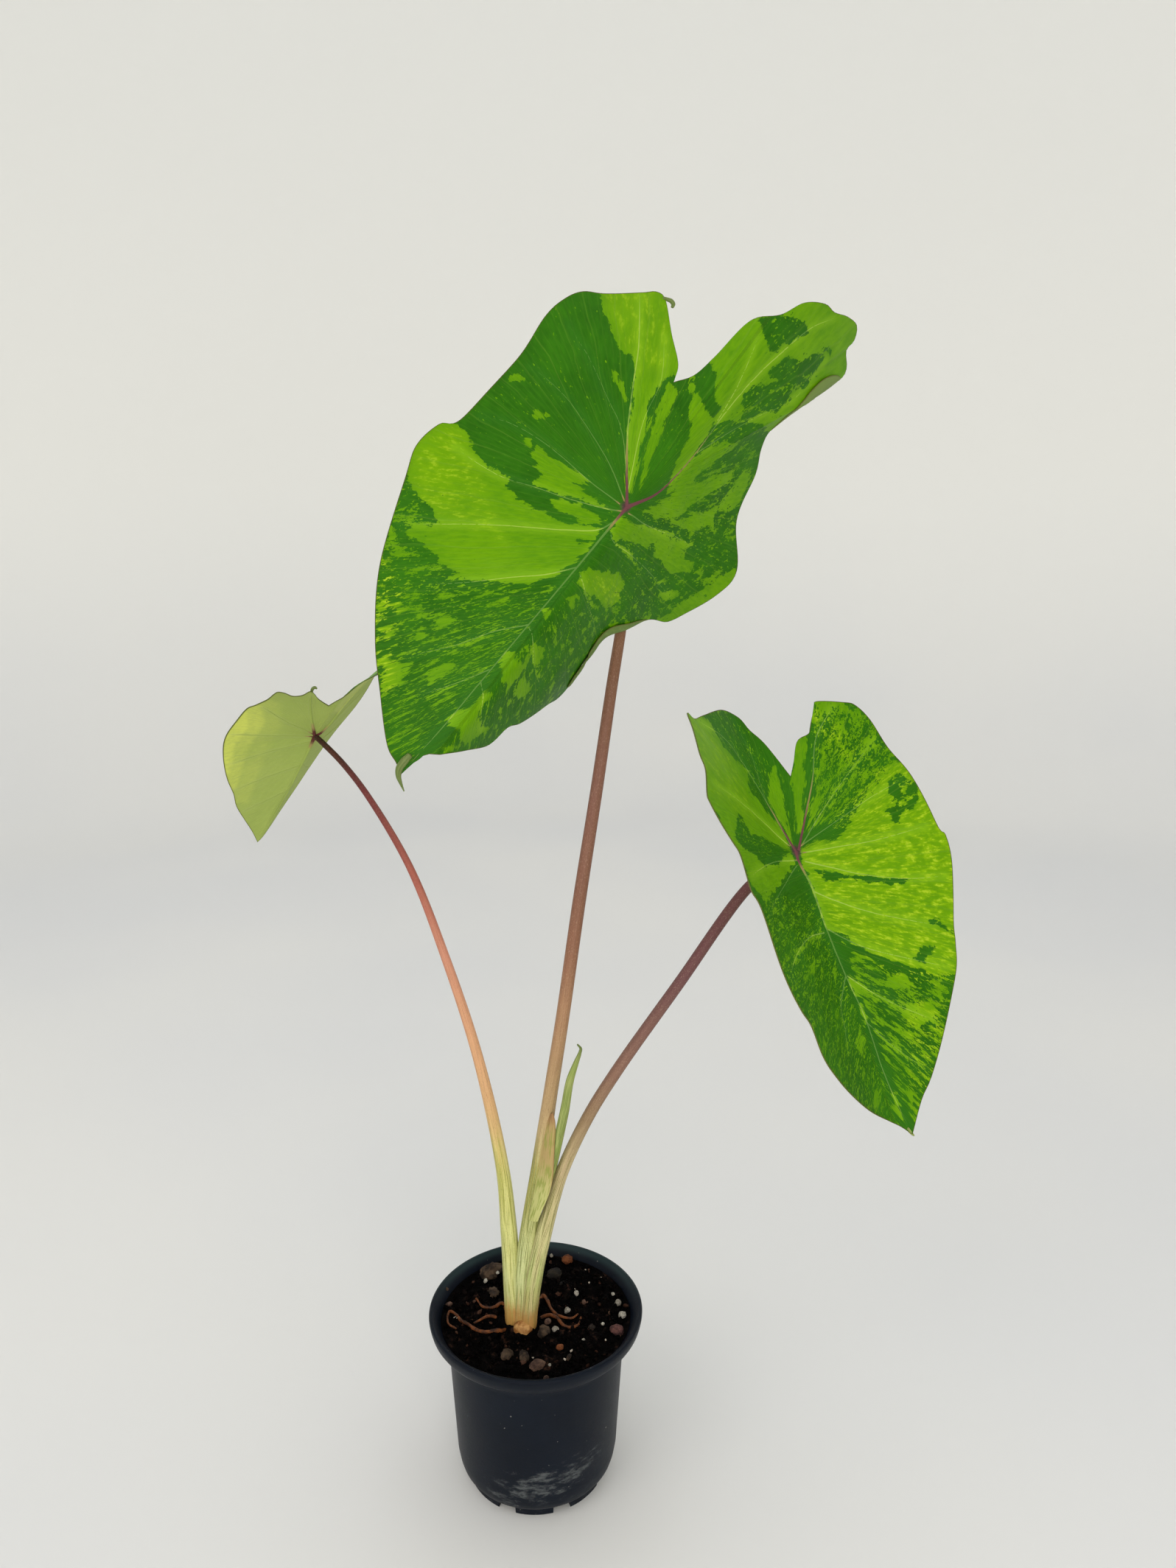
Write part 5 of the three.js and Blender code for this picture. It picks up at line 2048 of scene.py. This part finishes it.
@dataclass
class NewLeaf:
    """The next leaf, still rolled, with its hooked tip, and the sheath's edge that it leaves."""

    slimness: float = 0.94
    overlap: float = 0.16
    sheath_bulge: float = 1.2
    sheath_ripple: float = 0.25
    sheath_thickness: float = 0.5
    stations: tuple[Station, ...] = (
        (6, -11, 200, 2.2), (11, -12.5, 222, 3.1), (16, -14.5, 247, 3.2), (20, -16, 267, 3),
        (23.3, -17, 287, 2.6), (27, -18, 299, 1.8), (29.5, -18, 306, 1.1), (30, -18.4, 309, 0.9),
        (28, -19, 312, 0.5),
    )
    held_edge: tuple[tuple[float, float, float], ...] = (
        (-3.1, -14.0, 190), (-1.5, -13.6, 199), (0.3, -13.2, 208), (2.9, -12.0, 222), (4.4, -11.4, 232),
        (5.7, -11.1, 239.4), (6.8, -10.8, 246), (8, -10.4, 252), (9.2, -10, 257), (11, -9.4, 261),
    )
    free_edge: tuple[tuple[float, float, float], ...] = (
        (2.5, -17.6, 191), (6.4, -18.8, 202), (9.8, -19.2, 211), (12.4, -18.9, 222), (13.2, -18.4, 232),
        (13.7, -17.8, 240.5), (14, -17, 248), (14, -15.6, 254), (13.6, -14, 258.5), (12.4, -11.4, 262.8),
    )

    def build(self) -> list[bpy.types.Object]:
        """Makes the rolled leaf and the sheath's edge.

        Returns:
            The two pieces.
        """
        middles, radii = stations_line(self.stations, per_span=10)
        leaf = tube("new_leaf_rolled", middles, radii * self.slimness, sides=36, lip=self.overlap)
        dress(leaf, NewLeafFinish())
        smooth(leaf, angle=50)
        hand_over(leaf, "new_leaf", "new_leaf")
        return [leaf, self.sheath()]

    def sheath(self) -> bpy.types.Object:
        """Makes the thin flap of the tall petiole's sheath.

        Returns:
            The flap.
        """
        held = smooth_line(np.array(self.held_edge, float), per_span=8)
        free = smooth_line(np.array(self.free_edge, float), per_span=8)
        lip = np.linspace(0, 1, 9)
        points = held[:, None] * (1 - lip)[None, :, None] + free[:, None] * lip[None, :, None]
        points[..., 1] -= self.sheath_bulge * np.sin(math.pi * lip)[None]
        points[..., 0] += self.sheath_ripple * np.sin(np.linspace(0, 9, len(held)))[:, None] * lip[None]
        stored = {"lip": lip[None], "along": lengths_along(held)[:, None]}
        piece = bent_grid("sheath_edge", points, stored, closed=False)
        dress(piece, SheathFinish())
        apply_modifier(piece, "SOLIDIFY", {"thickness": self.sheath_thickness * MM, "offset": 0.0})
        smooth(piece)
        return hand_over(piece, "petiole_tan")


# A lump's dents, in three layers: their size and depth on a ball of radius 1
DENTS = ((1.3, 0.6), (0.5, 0.3), (0.2, 0.12))
LUMP_DIVISIONS = 4


def egg(
    name: str,
    centre: tuple[float, float, float],
    radii: tuple[float, float, float],
    turn: float,
    dent: float,
    seed: int,
) -> bpy.types.Object:
    """Makes a lump with soft dents.

    Args:
        name: Its name.
        centre: Its middle.
        radii: Its half sizes.
        turn: Its turn about Z, in degrees.
        dent: How deep the dents go, as a share of its size.
        seed: What the dents are drawn from.

    Returns:
        The lump.
    """
    piece = added(bpy.ops.mesh.primitive_ico_sphere_add, name, subdivisions=LUMP_DIVISIONS, radius=1.0)
    unit = points_of(piece)
    unit /= np.linalg.norm(unit, axis=1)[:, None]
    rough = layered_bumps(unit, seed, DENTS)
    shaped = unit * (1 - dent * (0.5 + 0.5 * rough))[:, None] * np.array(radii)
    c, s = math.cos(math.radians(turn)), math.sin(math.radians(turn))
    about_z = np.array([[c, s, 0], [-s, c, 0], [0, 0, 1]])
    move_points(piece, shaped @ about_z + np.array(centre))
    return piece


@dataclass
class Corm:
    """The corm at the soil, the nub in front of it, and the roots that run over the soil."""

    root_radius: float = 1.3
    root_tip: float = 0.6
    root_wander: float = 0.25
    root_knots: float = 0.10
    routes: tuple[tuple[tuple[float, float, float], ...], ...] = (
        ((-2, -2, 108), (1, 6, 112.5), (4, 15, 114), (7, 9, 115), (11, -2, 115.3), (17, -8, 115.3),
         (24, -9, 115), (28, -5, 115)),
        ((-3, -7, 108), (8, -5, 114), (14, -9, 115), (18, -15, 114.5), (23, -17, 114), (28, -14, 114),
         (30, -7, 114)),
        ((-18, -2, 108), (-23, 7, 114), (-28, 2, 115), (-35, 2, 115), (-41, 12, 114)),
        ((-19, -6, 108), (-29, -6, 114), (-34, -9, 115), (-40, -13, 114)),
        ((-17, -12, 108), (-23, -20, 114), (-32, -22, 115), (-39, -20, 115.5), (-43, -16, 115.5),
         (-48, -12, 115), (-52, -6, 115), (-57, -1, 114), (-58, -7, 114), (-56, -14, 114),
         (-51, -18, 113.5)),
    )

    def build(self) -> bpy.types.Object:
        """Makes the corm with its roots as one piece.

        Returns:
            The piece.
        """
        body = egg("corm_body", centre=(-10, -9, 103), radii=(14, 12, 11), turn=0, dent=0.05, seed=41)
        nub = egg("corm_nub", centre=(-7.5, -16.4, 112), radii=(6.6, 5.2, 6.6), turn=0, dent=0.03, seed=5)
        for lump in (body, nub):
            store(lump, "along", points_of(lump)[:, 2] / MM)
            dress(lump, CORM_SKIN)
        parts = [body, nub]
        for number, route in enumerate(self.routes):
            middles = smooth_line(np.array(route, float), per_span=8)
            middles[:, 2] += self.root_wander * bumps(middles, size=9.0, seed=60 + number)
            radii = np.linspace(self.root_radius, self.root_tip, len(middles))
            radii = radii * (1 + self.root_knots * bumps(middles, size=3.0, seed=70 + number))
            root = tube(f"root_{number}", middles, radii, sides=12)
            dress(root, ROOT_SKIN)
            parts.append(root)
        piece = joined("corm_and_roots", parts)
        smooth(piece, angle=60)
        return hand_over(piece, "corm", "corm")


# How deep the dents of each kind of grain go, as a share of its size
DENT_DEPTHS = {PERLITE: 0.34, BARK: 0.45}
PLAIN_DENT_DEPTH = 0.26


@dataclass(frozen=True)
class Grain:
    """A loose grain on the soil. One with a node stands for it."""

    name: str
    at: tuple[float, float, float]
    radii: tuple[float, float, float]
    turn: float
    finish: GrainFinish
    slot: str
    node: str = ""

    def build(self, seed: int) -> bpy.types.Object:
        """Makes the grain.

        Args:
            seed: What its dents are drawn from.

        Returns:
            The grain.
        """
        dent = DENT_DEPTHS.get(self.finish, PLAIN_DENT_DEPTH)
        piece = egg(self.name, self.at, self.radii, self.turn, dent, seed)
        dress(piece, self.finish)
        smooth(piece, angle=60)
        return hand_over(piece, self.slot, *([self.node] if self.node else []))


GRAINS = (
    Grain("bark_large", (-33, 41, 114), (9, 7.5, 7), 35, BARK, "bark", "stone_bark"),
    Grain("bark_flat", (-30, 19, 113), (6, 5, 3.5), -20, BARK, "bark", "stone_flat"),
    Grain("pebble_orange", (20, 54, 114), (4.6, 4, 4), 10, ORANGE_STONE, "stone", "stone_orange"),
    Grain("pebble_olive", (11, 39, 113), (6.5, 5.5, 4.5), 50, OLIVE_STONE, "stone", "stone_olive"),
    Grain("pebble_red", (53, -18.5, 113), (5.6, 4, 4), -15, RED_STONE, "stone", "stone_red"),
    Grain("bark_front_left", (-16.5, -41, 113), (5.4, 6, 4.5), 25, BARK, "bark", "stone_front_left"),
    Grain("bark_front_middle", (-5.5, -43, 113), (4.2, 5, 4.5), -10, BARK, "bark", "stone_front_middle"),
    Grain("bark_front_right", (3, -49.5, 112.5), (5.8, 4, 4), 15, TAN_STONE, "bark", "stone_front_right"),
    Grain("pebble_by_corm", (6, -19.3, 112.5), (4.4, 4.4, 4.6), 0, BARK, "stone", "stone_by_corm"),
    Grain("perlite_lump_right", (57, -4.5, 113.5), (3, 2.8, 2.8), 20, PERLITE, "perlite", "perlite_right"),
    Grain("perlite_lump_back", (54.5, 8, 113.5), (2.8, 2.6, 2.4), 70, PERLITE, "perlite", "perlite_back"),
    Grain(
        "perlite_lump_middle", (20.8, -0.3, 114), (2.2, 2.2, 2.6), 30, PERLITE, "perlite", "perlite_middle"
    ),
    Grain(
        "perlite_lump_front", (13.3, -17.5, 113.5), (2.6, 2.3, 2.2), 0, PERLITE, "perlite", "perlite_front"
    ),
    Grain("perlite_long", (26.5, 17.3, 114), (1.8, 2.3, 2.0), 10, PERLITE, "perlite"),
    Grain("chip_pink", (31.7, 8.8, 113.5), (1.8, 1.6, 1.8), 0, TAN_STONE, "bark"),
    Grain("chip_rust", (16.5, -34.1, 113), (2.7, 2.3, 2.2), 20, ORANGE_STONE, "stone"),
    Grain("chip_grey", (36.9, -15.9, 113), (3, 2.6, 2.2), 40, BARK, "bark"),
    Grain("chip_brown", (22.5, -43, 113), (3.0, 1.6, 1.8), 60, BARK, "bark"),
    Grain("chip_tan", (-58.5, 6.6, 113.5), (2.4, 2.0, 1.8), 0, TAN_STONE, "bark"),
    Grain("chip_dark", (17.2, 28, 113), (3, 2.6, 2.4), 15, OLIVE_STONE, "stone"),
    Grain("chip_light", (8, -11.3, 114), (2.6, 2.2, 2.2), 30, TAN_STONE, "bark"),
    Grain("rim_crumb_left", (-62, 20.9, 114.5), (1.7, 1.5, 1.4), 0, BARK, "bark"),
    Grain("rim_crumb_front", (9, -62.3, 114), (2.0, 1.7, 1.5), 40, TAN_STONE, "bark"),
    *(
        Grain(
            f"perlite_speck_{number}",
            at,
            (radius, radius * 0.9, radius * 0.85),
            40 * number,
            PERLITE,
            "perlite",
        )
        for number, (at, radius) in enumerate(
            (
                ((-36.3, 30.3, 114), 1.8), ((-28.5, 36.7, 116), 1.4), ((8.3, 58.5, 114), 1.6),
                ((51.5, 16.5, 114), 1.5), ((31.7, -27.7, 113.4), 1.3), ((44.1, -13.1, 113.6), 1.3),
                ((10.7, -50.5, 113.5), 1.2),
            )
        )
    ),
)


# The small generator of random numbers that the part's source uses too
DRAW_FACTOR = 1664525
DRAW_STEP = 1013904223
DRAW_RANGE = 2**32


@dataclass
class Soil:
    """The potting mix: a crumbly top on a plain body, with loose crumbs over it."""

    level: float = 112.0
    edge: tuple[float, float] = (62.6, 111.6)
    wall: tuple[tuple[float, float], ...] = (
        (61, 108.1), (57.6, 102.2), (56, 97), (51.5, 18.6), (49.4, 12.2), (43.4, 5.4),
    )
    mounds: int = 60
    mound_seed: int = 11
    mound_spread: float = 54.0
    mound_height: float = 2.6
    mound_width: float = 3.0
    top_rings: int = 110
    rays: int = 260
    swell: float = 0.5
    grain_layers: tuple[tuple[float, float], ...] = ((2.6, 0.45), (1.3, 0.3), (7.0, 0.5))
    tint: float = 0.40
    tint_layers: tuple[tuple[float, float], ...] = ((5.0, 0.22), (1.6, 0.12))
    crumbs: int = 1700
    crumb_seed: int = 17
    crumb_spread: float = 60.5
    crumb_size: float = 0.85
    crumb_variety: float = 0.42
    crumb_sizes: tuple[float, float] = (0.4, 2.3)
    crumb_tints: tuple[float, float] = (0.10, 0.74)
    light_tints: tuple[float, float] = (0.76, 0.92)
    light_from: float = 0.93
    white_from: float = 0.991
    white_sizes: tuple[float, float] = (0.5, 1.0)
    crumb_stretch: tuple[float, float] = (0.55, 1.25)
    crumb_roughness: float = 0.22
    crumb_tilt: float = 0.9
    crumb_rise: float = 0.35
    plant_clear: float = 15.0
    plant_at: tuple[float, float] = (-9, -10)

    def __post_init__(self) -> None:
        """Draws the mounds that the part's soil also has, by the same small generator."""
        state = self.mound_seed
        drawn = []
        for _ in range(4 * self.mounds):
            state = (state * DRAW_FACTOR + DRAW_STEP) % DRAW_RANGE
            drawn.append(state / DRAW_RANGE)
        draws = np.array(drawn).reshape(self.mounds, 4)
        radius = self.mound_spread * np.sqrt(draws[:, 0])
        angle = 2 * math.pi * draws[:, 1]
        self.mound_at = np.stack([radius * np.cos(angle), radius * np.sin(angle)], axis=-1)
        self.mound_tall = self.mound_height * draws[:, 2]
        self.mound_wide = self.mound_width * (1 + draws[:, 3])

    def height(self, x: np.ndarray, y: np.ndarray) -> np.ndarray:
        """The soil's height at places on it.

        Args:
            x: The places' X.
            y: Their Y.

        Returns:
            The heights.
        """
        plain = self.level + self.swell * np.sin(0.21 * x + 1) * np.cos(0.17 * y)
        offset = np.stack([x, y], axis=-1)[..., None, :] - self.mound_at
        away = (offset**2).sum(-1) / self.mound_wide**2
        return plain + (self.mound_tall * np.exp(-away)).sum(-1)

    def body(self) -> bpy.types.Object:
        """Makes the filled body with its fine top.

        Returns:
            The body.
        """
        share = np.linspace(0, 1, self.top_rings + 1)[:, None]
        angle = np.linspace(0, 2 * math.pi, self.rays + 1)[None]
        radius = share * self.edge[0]
        x, y = radius * np.cos(angle), radius * np.sin(angle)
        flat = np.stack([x, y], axis=-1)
        grain = layered_bumps(flat, seed=91, layers=self.grain_layers)
        towards_edge = share**8
        z = (self.height(x, y) + grain * (1 - share**12)) * (1 - towards_edge) + self.edge[1] * towards_edge
        rows = [np.stack([x, y, z], axis=-1)]
        for radius, height in (*self.wall, (0.0, self.wall[-1][1])):
            ring = [radius * np.cos(angle), radius * np.sin(angle), np.full_like(angle, height)]
            rows.append(np.stack(ring, axis=-1))
        points = np.concatenate(rows)
        tint = self.tint + layered_bumps(points[..., :2], seed=94, layers=self.tint_layers)
        piece = bent_grid("soil_body", points, {"tint": np.clip(tint, 0, 0.8)}, closed=True)
        dress(piece, SoilFinish())
        smooth(piece, angle=60)
        return hand_over(piece, "soil", "soil")

    def loose_crumbs(self) -> bpy.types.Object:
        """Scatters copies of one small lump over the soil, each with its own size, turn and tint.

        Returns:
            All the crumbs as one piece.
        """
        lump = added(bpy.ops.mesh.primitive_ico_sphere_add, "crumb", subdivisions=1, radius=1.0)
        corner = points_of(lump)
        faces = np.array([tuple(face.vertices) for face in lump.data.polygons])
        bpy.data.objects.remove(lump)
        random = np.random.default_rng(self.crumb_seed)
        radius = self.crumb_spread * np.sqrt(random.uniform(0, 1, self.crumbs))
        angle = random.uniform(0, 2 * math.pi, self.crumbs)
        x, y = radius * np.cos(angle), radius * np.sin(angle)
        drawn = random.normal(math.log(self.crumb_size), self.crumb_variety, self.crumbs)
        size = np.exp(drawn).clip(*self.crumb_sizes)
        tint = random.uniform(*self.crumb_tints, self.crumbs)
        rare = random.uniform(0, 1, self.crumbs)
        tint = np.where(rare > self.light_from, random.uniform(*self.light_tints, self.crumbs), tint)
        white = rare > self.white_from
        tint = np.where(white, 1.0, tint)
        size = np.where(white, size.clip(*self.white_sizes), size)
        kept = np.hypot(x - self.plant_at[0], y - self.plant_at[1]) > self.plant_clear
        x, y, size, tint = x[kept], y[kept], size[kept], tint[kept]
        count = len(x)
        stretch = random.uniform(*self.crumb_stretch, (count, 1, 3))
        shape = stretch * (1 + self.crumb_roughness * random.normal(size=(count, len(corner), 1)))
        spin = random.uniform(0, 2 * math.pi, count)
        tilt = random.uniform(-self.crumb_tilt, self.crumb_tilt, count)
        points = corner[None] * shape * size[:, None, None]
        points = turned(turned(points, tilt, start=1, towards=2), spin, start=0, towards=1)
        points += np.stack([x, y, self.height(x, y) + size * self.crumb_rise], axis=-1)[:, None]
        first = (np.arange(count) * len(corner))[:, None, None]
        mesh = bpy.data.meshes.new("soil_crumbs")
        mesh.from_pydata(points.reshape(-1, 3) * MM, [], (faces[None] + first).reshape(-1, 3).tolist())
        piece = bpy.data.objects.new("soil_crumbs", mesh)
        bpy.context.scene.collection.objects.link(piece)
        store(piece, "tint", np.repeat(tint, len(corner)))
        dress(piece, SoilFinish())
        smooth(piece, angle=60)
        return hand_over(piece, "soil")

    def build(self) -> list[bpy.types.Object]:
        """Makes the soil, its crumbs and the grains on it.

        Returns:
            The pieces.
        """
        pieces = [self.body(), self.loose_crumbs()]
        pieces += [grain.build(seed=200 + 7 * number) for number, grain in enumerate(GRAINS)]
        return pieces


@dataclass
class Pot:
    """The round nursery pot: a turned shell with a rolled rim, foot notches and drain holes."""

    outside: Outline = (
        (46.5, 0), (46.8, 3), (47.2, 5.2), (49.5, 7), (51.2, 9.4), (52.3, 13), (53.5, 20), (58, 96),
        (58.4, 99), (59.5, 101.4), (61, 103), (63.2, 104.6), (66, 106.2), (68, 108), (69.2, 110),
        (69.9, 112.5), (70.4, 115), (70.5, 116.4), (70.2, 117.4), (69.4, 118), (68.4, 118), (67.5, 117.4),
    )
    inside: Outline = (
        (66, 115.5), (63.5, 112.5), (61.5, 108), (58, 102), (56.4, 97), (52, 18.5), (50, 12), (47.5, 8),
        (44, 5), (0, 5),
    )
    under: Outline = ((0, 0), (14, 0), (16, 3), (42.5, 3), (43, 0))
    turns: int = 160
    feet: int = 8
    notch: tuple[float, float, float] = (24, 12, 9)
    notch_circle: float = 46.5
    drains: int = 8
    drain_radius: float = 4.0
    drain_circle: float = 30.0
    drain_cut: float = 20.0

    def shell(self) -> bpy.types.Object:
        """Spins the wall's outline round the pot's axis.

        Returns:
            The shell, still without notches and holes.
        """
        outline = (*self.under, *self.outside, *self.inside)
        ring = {"vertices": len(outline), "radius": 1.0, "fill_type": "NOTHING"}
        piece = added(bpy.ops.mesh.primitive_circle_add, "pot_shell", **ring)
        move_points(piece, np.array([(r, 0.0, z) for r, z in outline]))
        in_edit_mode(
            piece,
            functools.partial(
                bpy.ops.mesh.spin, steps=self.turns, angle=2 * math.pi, center=(0, 0, 0), axis=(0, 0, 1)
            ),
            functools.partial(bpy.ops.mesh.select_all, action="SELECT"),
            functools.partial(bpy.ops.mesh.remove_doubles, threshold=SPIN_WELD_MM * MM),
            functools.partial(bpy.ops.mesh.dissolve_degenerate, threshold=SPIN_WELD_MM * MM),
            functools.partial(bpy.ops.mesh.normals_make_consistent, inside=False),
        )
        return piece

    @staticmethod
    def places_round(radius_mm: float, count: int, first: float) -> list[dict[str, tuple]]:
        """Spaces places evenly round the pot's axis.

        Args:
            radius_mm: How far out they are.
            count: How many there are.
            first: The first one's angle, in degrees.

        Returns:
            Each one's location, in metres, and rotation, as Blender's operators take them.
        """
        radius = radius_mm * MM
        angles = [math.radians(360 / count * number + first) for number in range(count)]
        return [
            {"location": (radius * math.cos(angle), radius * math.sin(angle), 0), "rotation": (0, 0, angle)}
            for angle in angles
        ]

    def cutters(self) -> bpy.types.Object:
        """Makes what is cut away: blocks for the gaps between the feet, and rods for the drain holes.

        Returns:
            All of them as one piece.
        """
        block = {"size": 1.0, "scale": tuple(length * MM for length in self.notch)}
        rod = {"vertices": 32, "radius": self.drain_radius * MM, "depth": self.drain_cut * MM}
        parts = [
            added(bpy.ops.mesh.primitive_cube_add, "notch", **block, **place)
            for place in self.places_round(self.notch_circle, self.feet, 180 / self.feet - 90)
        ]
        parts += [
            added(bpy.ops.mesh.primitive_cylinder_add, "rod", location=place["location"], **rod)
            for place in self.places_round(self.drain_circle, self.drains, 0)
        ]
        cutter = joined("pot_cutter", parts)
        bpy.ops.object.transform_apply(location=True, rotation=True, scale=True)
        return cutter

    def build(self) -> bpy.types.Object:
        """Cuts the shell and gives it its plastic.

        Returns:
            The pot.
        """
        piece = self.shell()
        cutter = self.cutters()
        apply_modifier(piece, "BOOLEAN", {"operation": "DIFFERENCE", "solver": "EXACT", "object": cutter})
        bpy.data.objects.remove(cutter)
        dress(piece, PotFinish())
        smooth(piece, angle=32)
        return hand_over(piece, "pot", "pot")


@dataclass(frozen=True)
class Lamp:
    """One soft square light, aimed at the plant: its place and its side in metres."""

    name: str
    at: tuple[float, float, float]
    side: float
    watts: float
    tint: Colour = (255, 250, 244)

    def hang(self, aim: tuple[float, float, float]) -> None:
        """Hangs the light.

        Args:
            aim: What it is turned towards, in metres.
        """
        data = bpy.data.lights.new(self.name, "AREA")
        data.energy = self.watts
        data.size = self.side
        data.color = linear(self.tint)[:3]
        lamp = bpy.data.objects.new(self.name, data)
        lamp.location = self.at
        lamp.rotation_euler = (Vector(aim) - Vector(self.at)).to_track_quat("-Z", "Y").to_euler()
        bpy.context.scene.collection.objects.link(lamp)


@dataclass
class Studio:
    """The pale floor, rising into a round backdrop, the soft lights and the camera."""

    lamps: tuple[Lamp, ...] = (
        Lamp("key", (-1.1, -1.3, 1.9), 1.3, 8.0),
        Lamp("fill", (0.3, -2.2, 0.55), 1.6, 30.0),
        Lamp("top", (0.1, 0.5, 2.2), 1.4, 3.0, (255, 253, 250)),
    )
    lamp_aim: tuple[float, float, float] = (0.02, 0.0, 0.42)
    sky_tint: Colour = (236, 240, 244)
    sky_strength: float = 0.8
    paper_height: float = -0.2
    floor_radius: float = 1900.0
    corner_radius: float = 900.0
    wall_top: float = 3200.0
    camera_at: tuple[float, float, float] = (34.5, -650.0, 603.0)
    camera_tilt: float = 78.5
    photo_height: float = 2128.0
    focal_pixels: float = 1500.0
    sensor: float = 36.0

    def backdrop(self) -> bpy.types.Object:
        """Bends one sheet of paper into the floor and the wall round it.

        Returns:
            The sheet.
        """
        corner = np.radians(np.linspace(0, 90, 20))
        profile = [(radius, self.paper_height) for radius in (0.0, 300.0, 900.0, self.floor_radius)]
        profile += [
            (self.floor_radius + self.corner_radius * math.sin(a), self.corner_radius * (1 - math.cos(a)))
            for a in corner[1:]
        ]
        profile.append((self.floor_radius + self.corner_radius, self.wall_top))
        radius, height = np.array(profile).T
        angle = np.linspace(0, 2 * math.pi, 97)
        points = np.stack(
            [
                radius[:, None] * np.cos(angle),
                radius[:, None] * np.sin(angle),
                np.broadcast_to(height[:, None], (len(profile), len(angle))),
            ],
            axis=-1,
        )
        piece = bent_grid("studio_paper", points[:, ::-1], {}, closed=False)
        dress(piece, StudioFinish())
        smooth(piece, angle=80)
        return piece

    def camera(self) -> None:
        """Stands the camera where the photograph was taken."""
        data = bpy.data.cameras.new("camera")
        data.sensor_width = self.sensor
        data.lens = self.sensor * self.focal_pixels / self.photo_height
        camera = bpy.data.objects.new("camera", data)
        camera.location = [length * MM for length in self.camera_at]
        camera.rotation_euler = (math.radians(self.camera_tilt), 0.0, 0.0)
        bpy.context.scene.collection.objects.link(camera)
        bpy.context.scene.camera = camera

    def build(self) -> None:
        """Sets the whole studio up."""
        scene = bpy.context.scene
        scene.view_settings.view_transform = "Standard"
        world = bpy.data.worlds.new("studio")
        world.use_nodes = True
        sky = world.node_tree.nodes["Background"]
        sky.inputs[0].default_value = linear(self.sky_tint)
        sky.inputs[1].default_value = self.sky_strength
        scene.world = world
        self.backdrop()
        for lamp in self.lamps:
            lamp.hang(self.lamp_aim)
        self.camera()


def main() -> None:
    """Builds the studio and the plant, piece by piece."""
    logging.basicConfig(level=logging.INFO, format="%(message)s")
    Studio().build()
    pieces = [Pot().build(), *Soil().build(), Corm().build()]
    pieces += [petiole.build() for petiole in PETIOLES]
    pieces += NewLeaf().build()
    pieces += [leaf.build() for leaf in (TALL_LEAF, RIGHT_LEAF, LEFT_LEAF)]
    for piece in pieces:
        LOG.info("%s: %d faces", piece.name, len(piece.data.polygons))


if __name__ == "__main__":
    main()
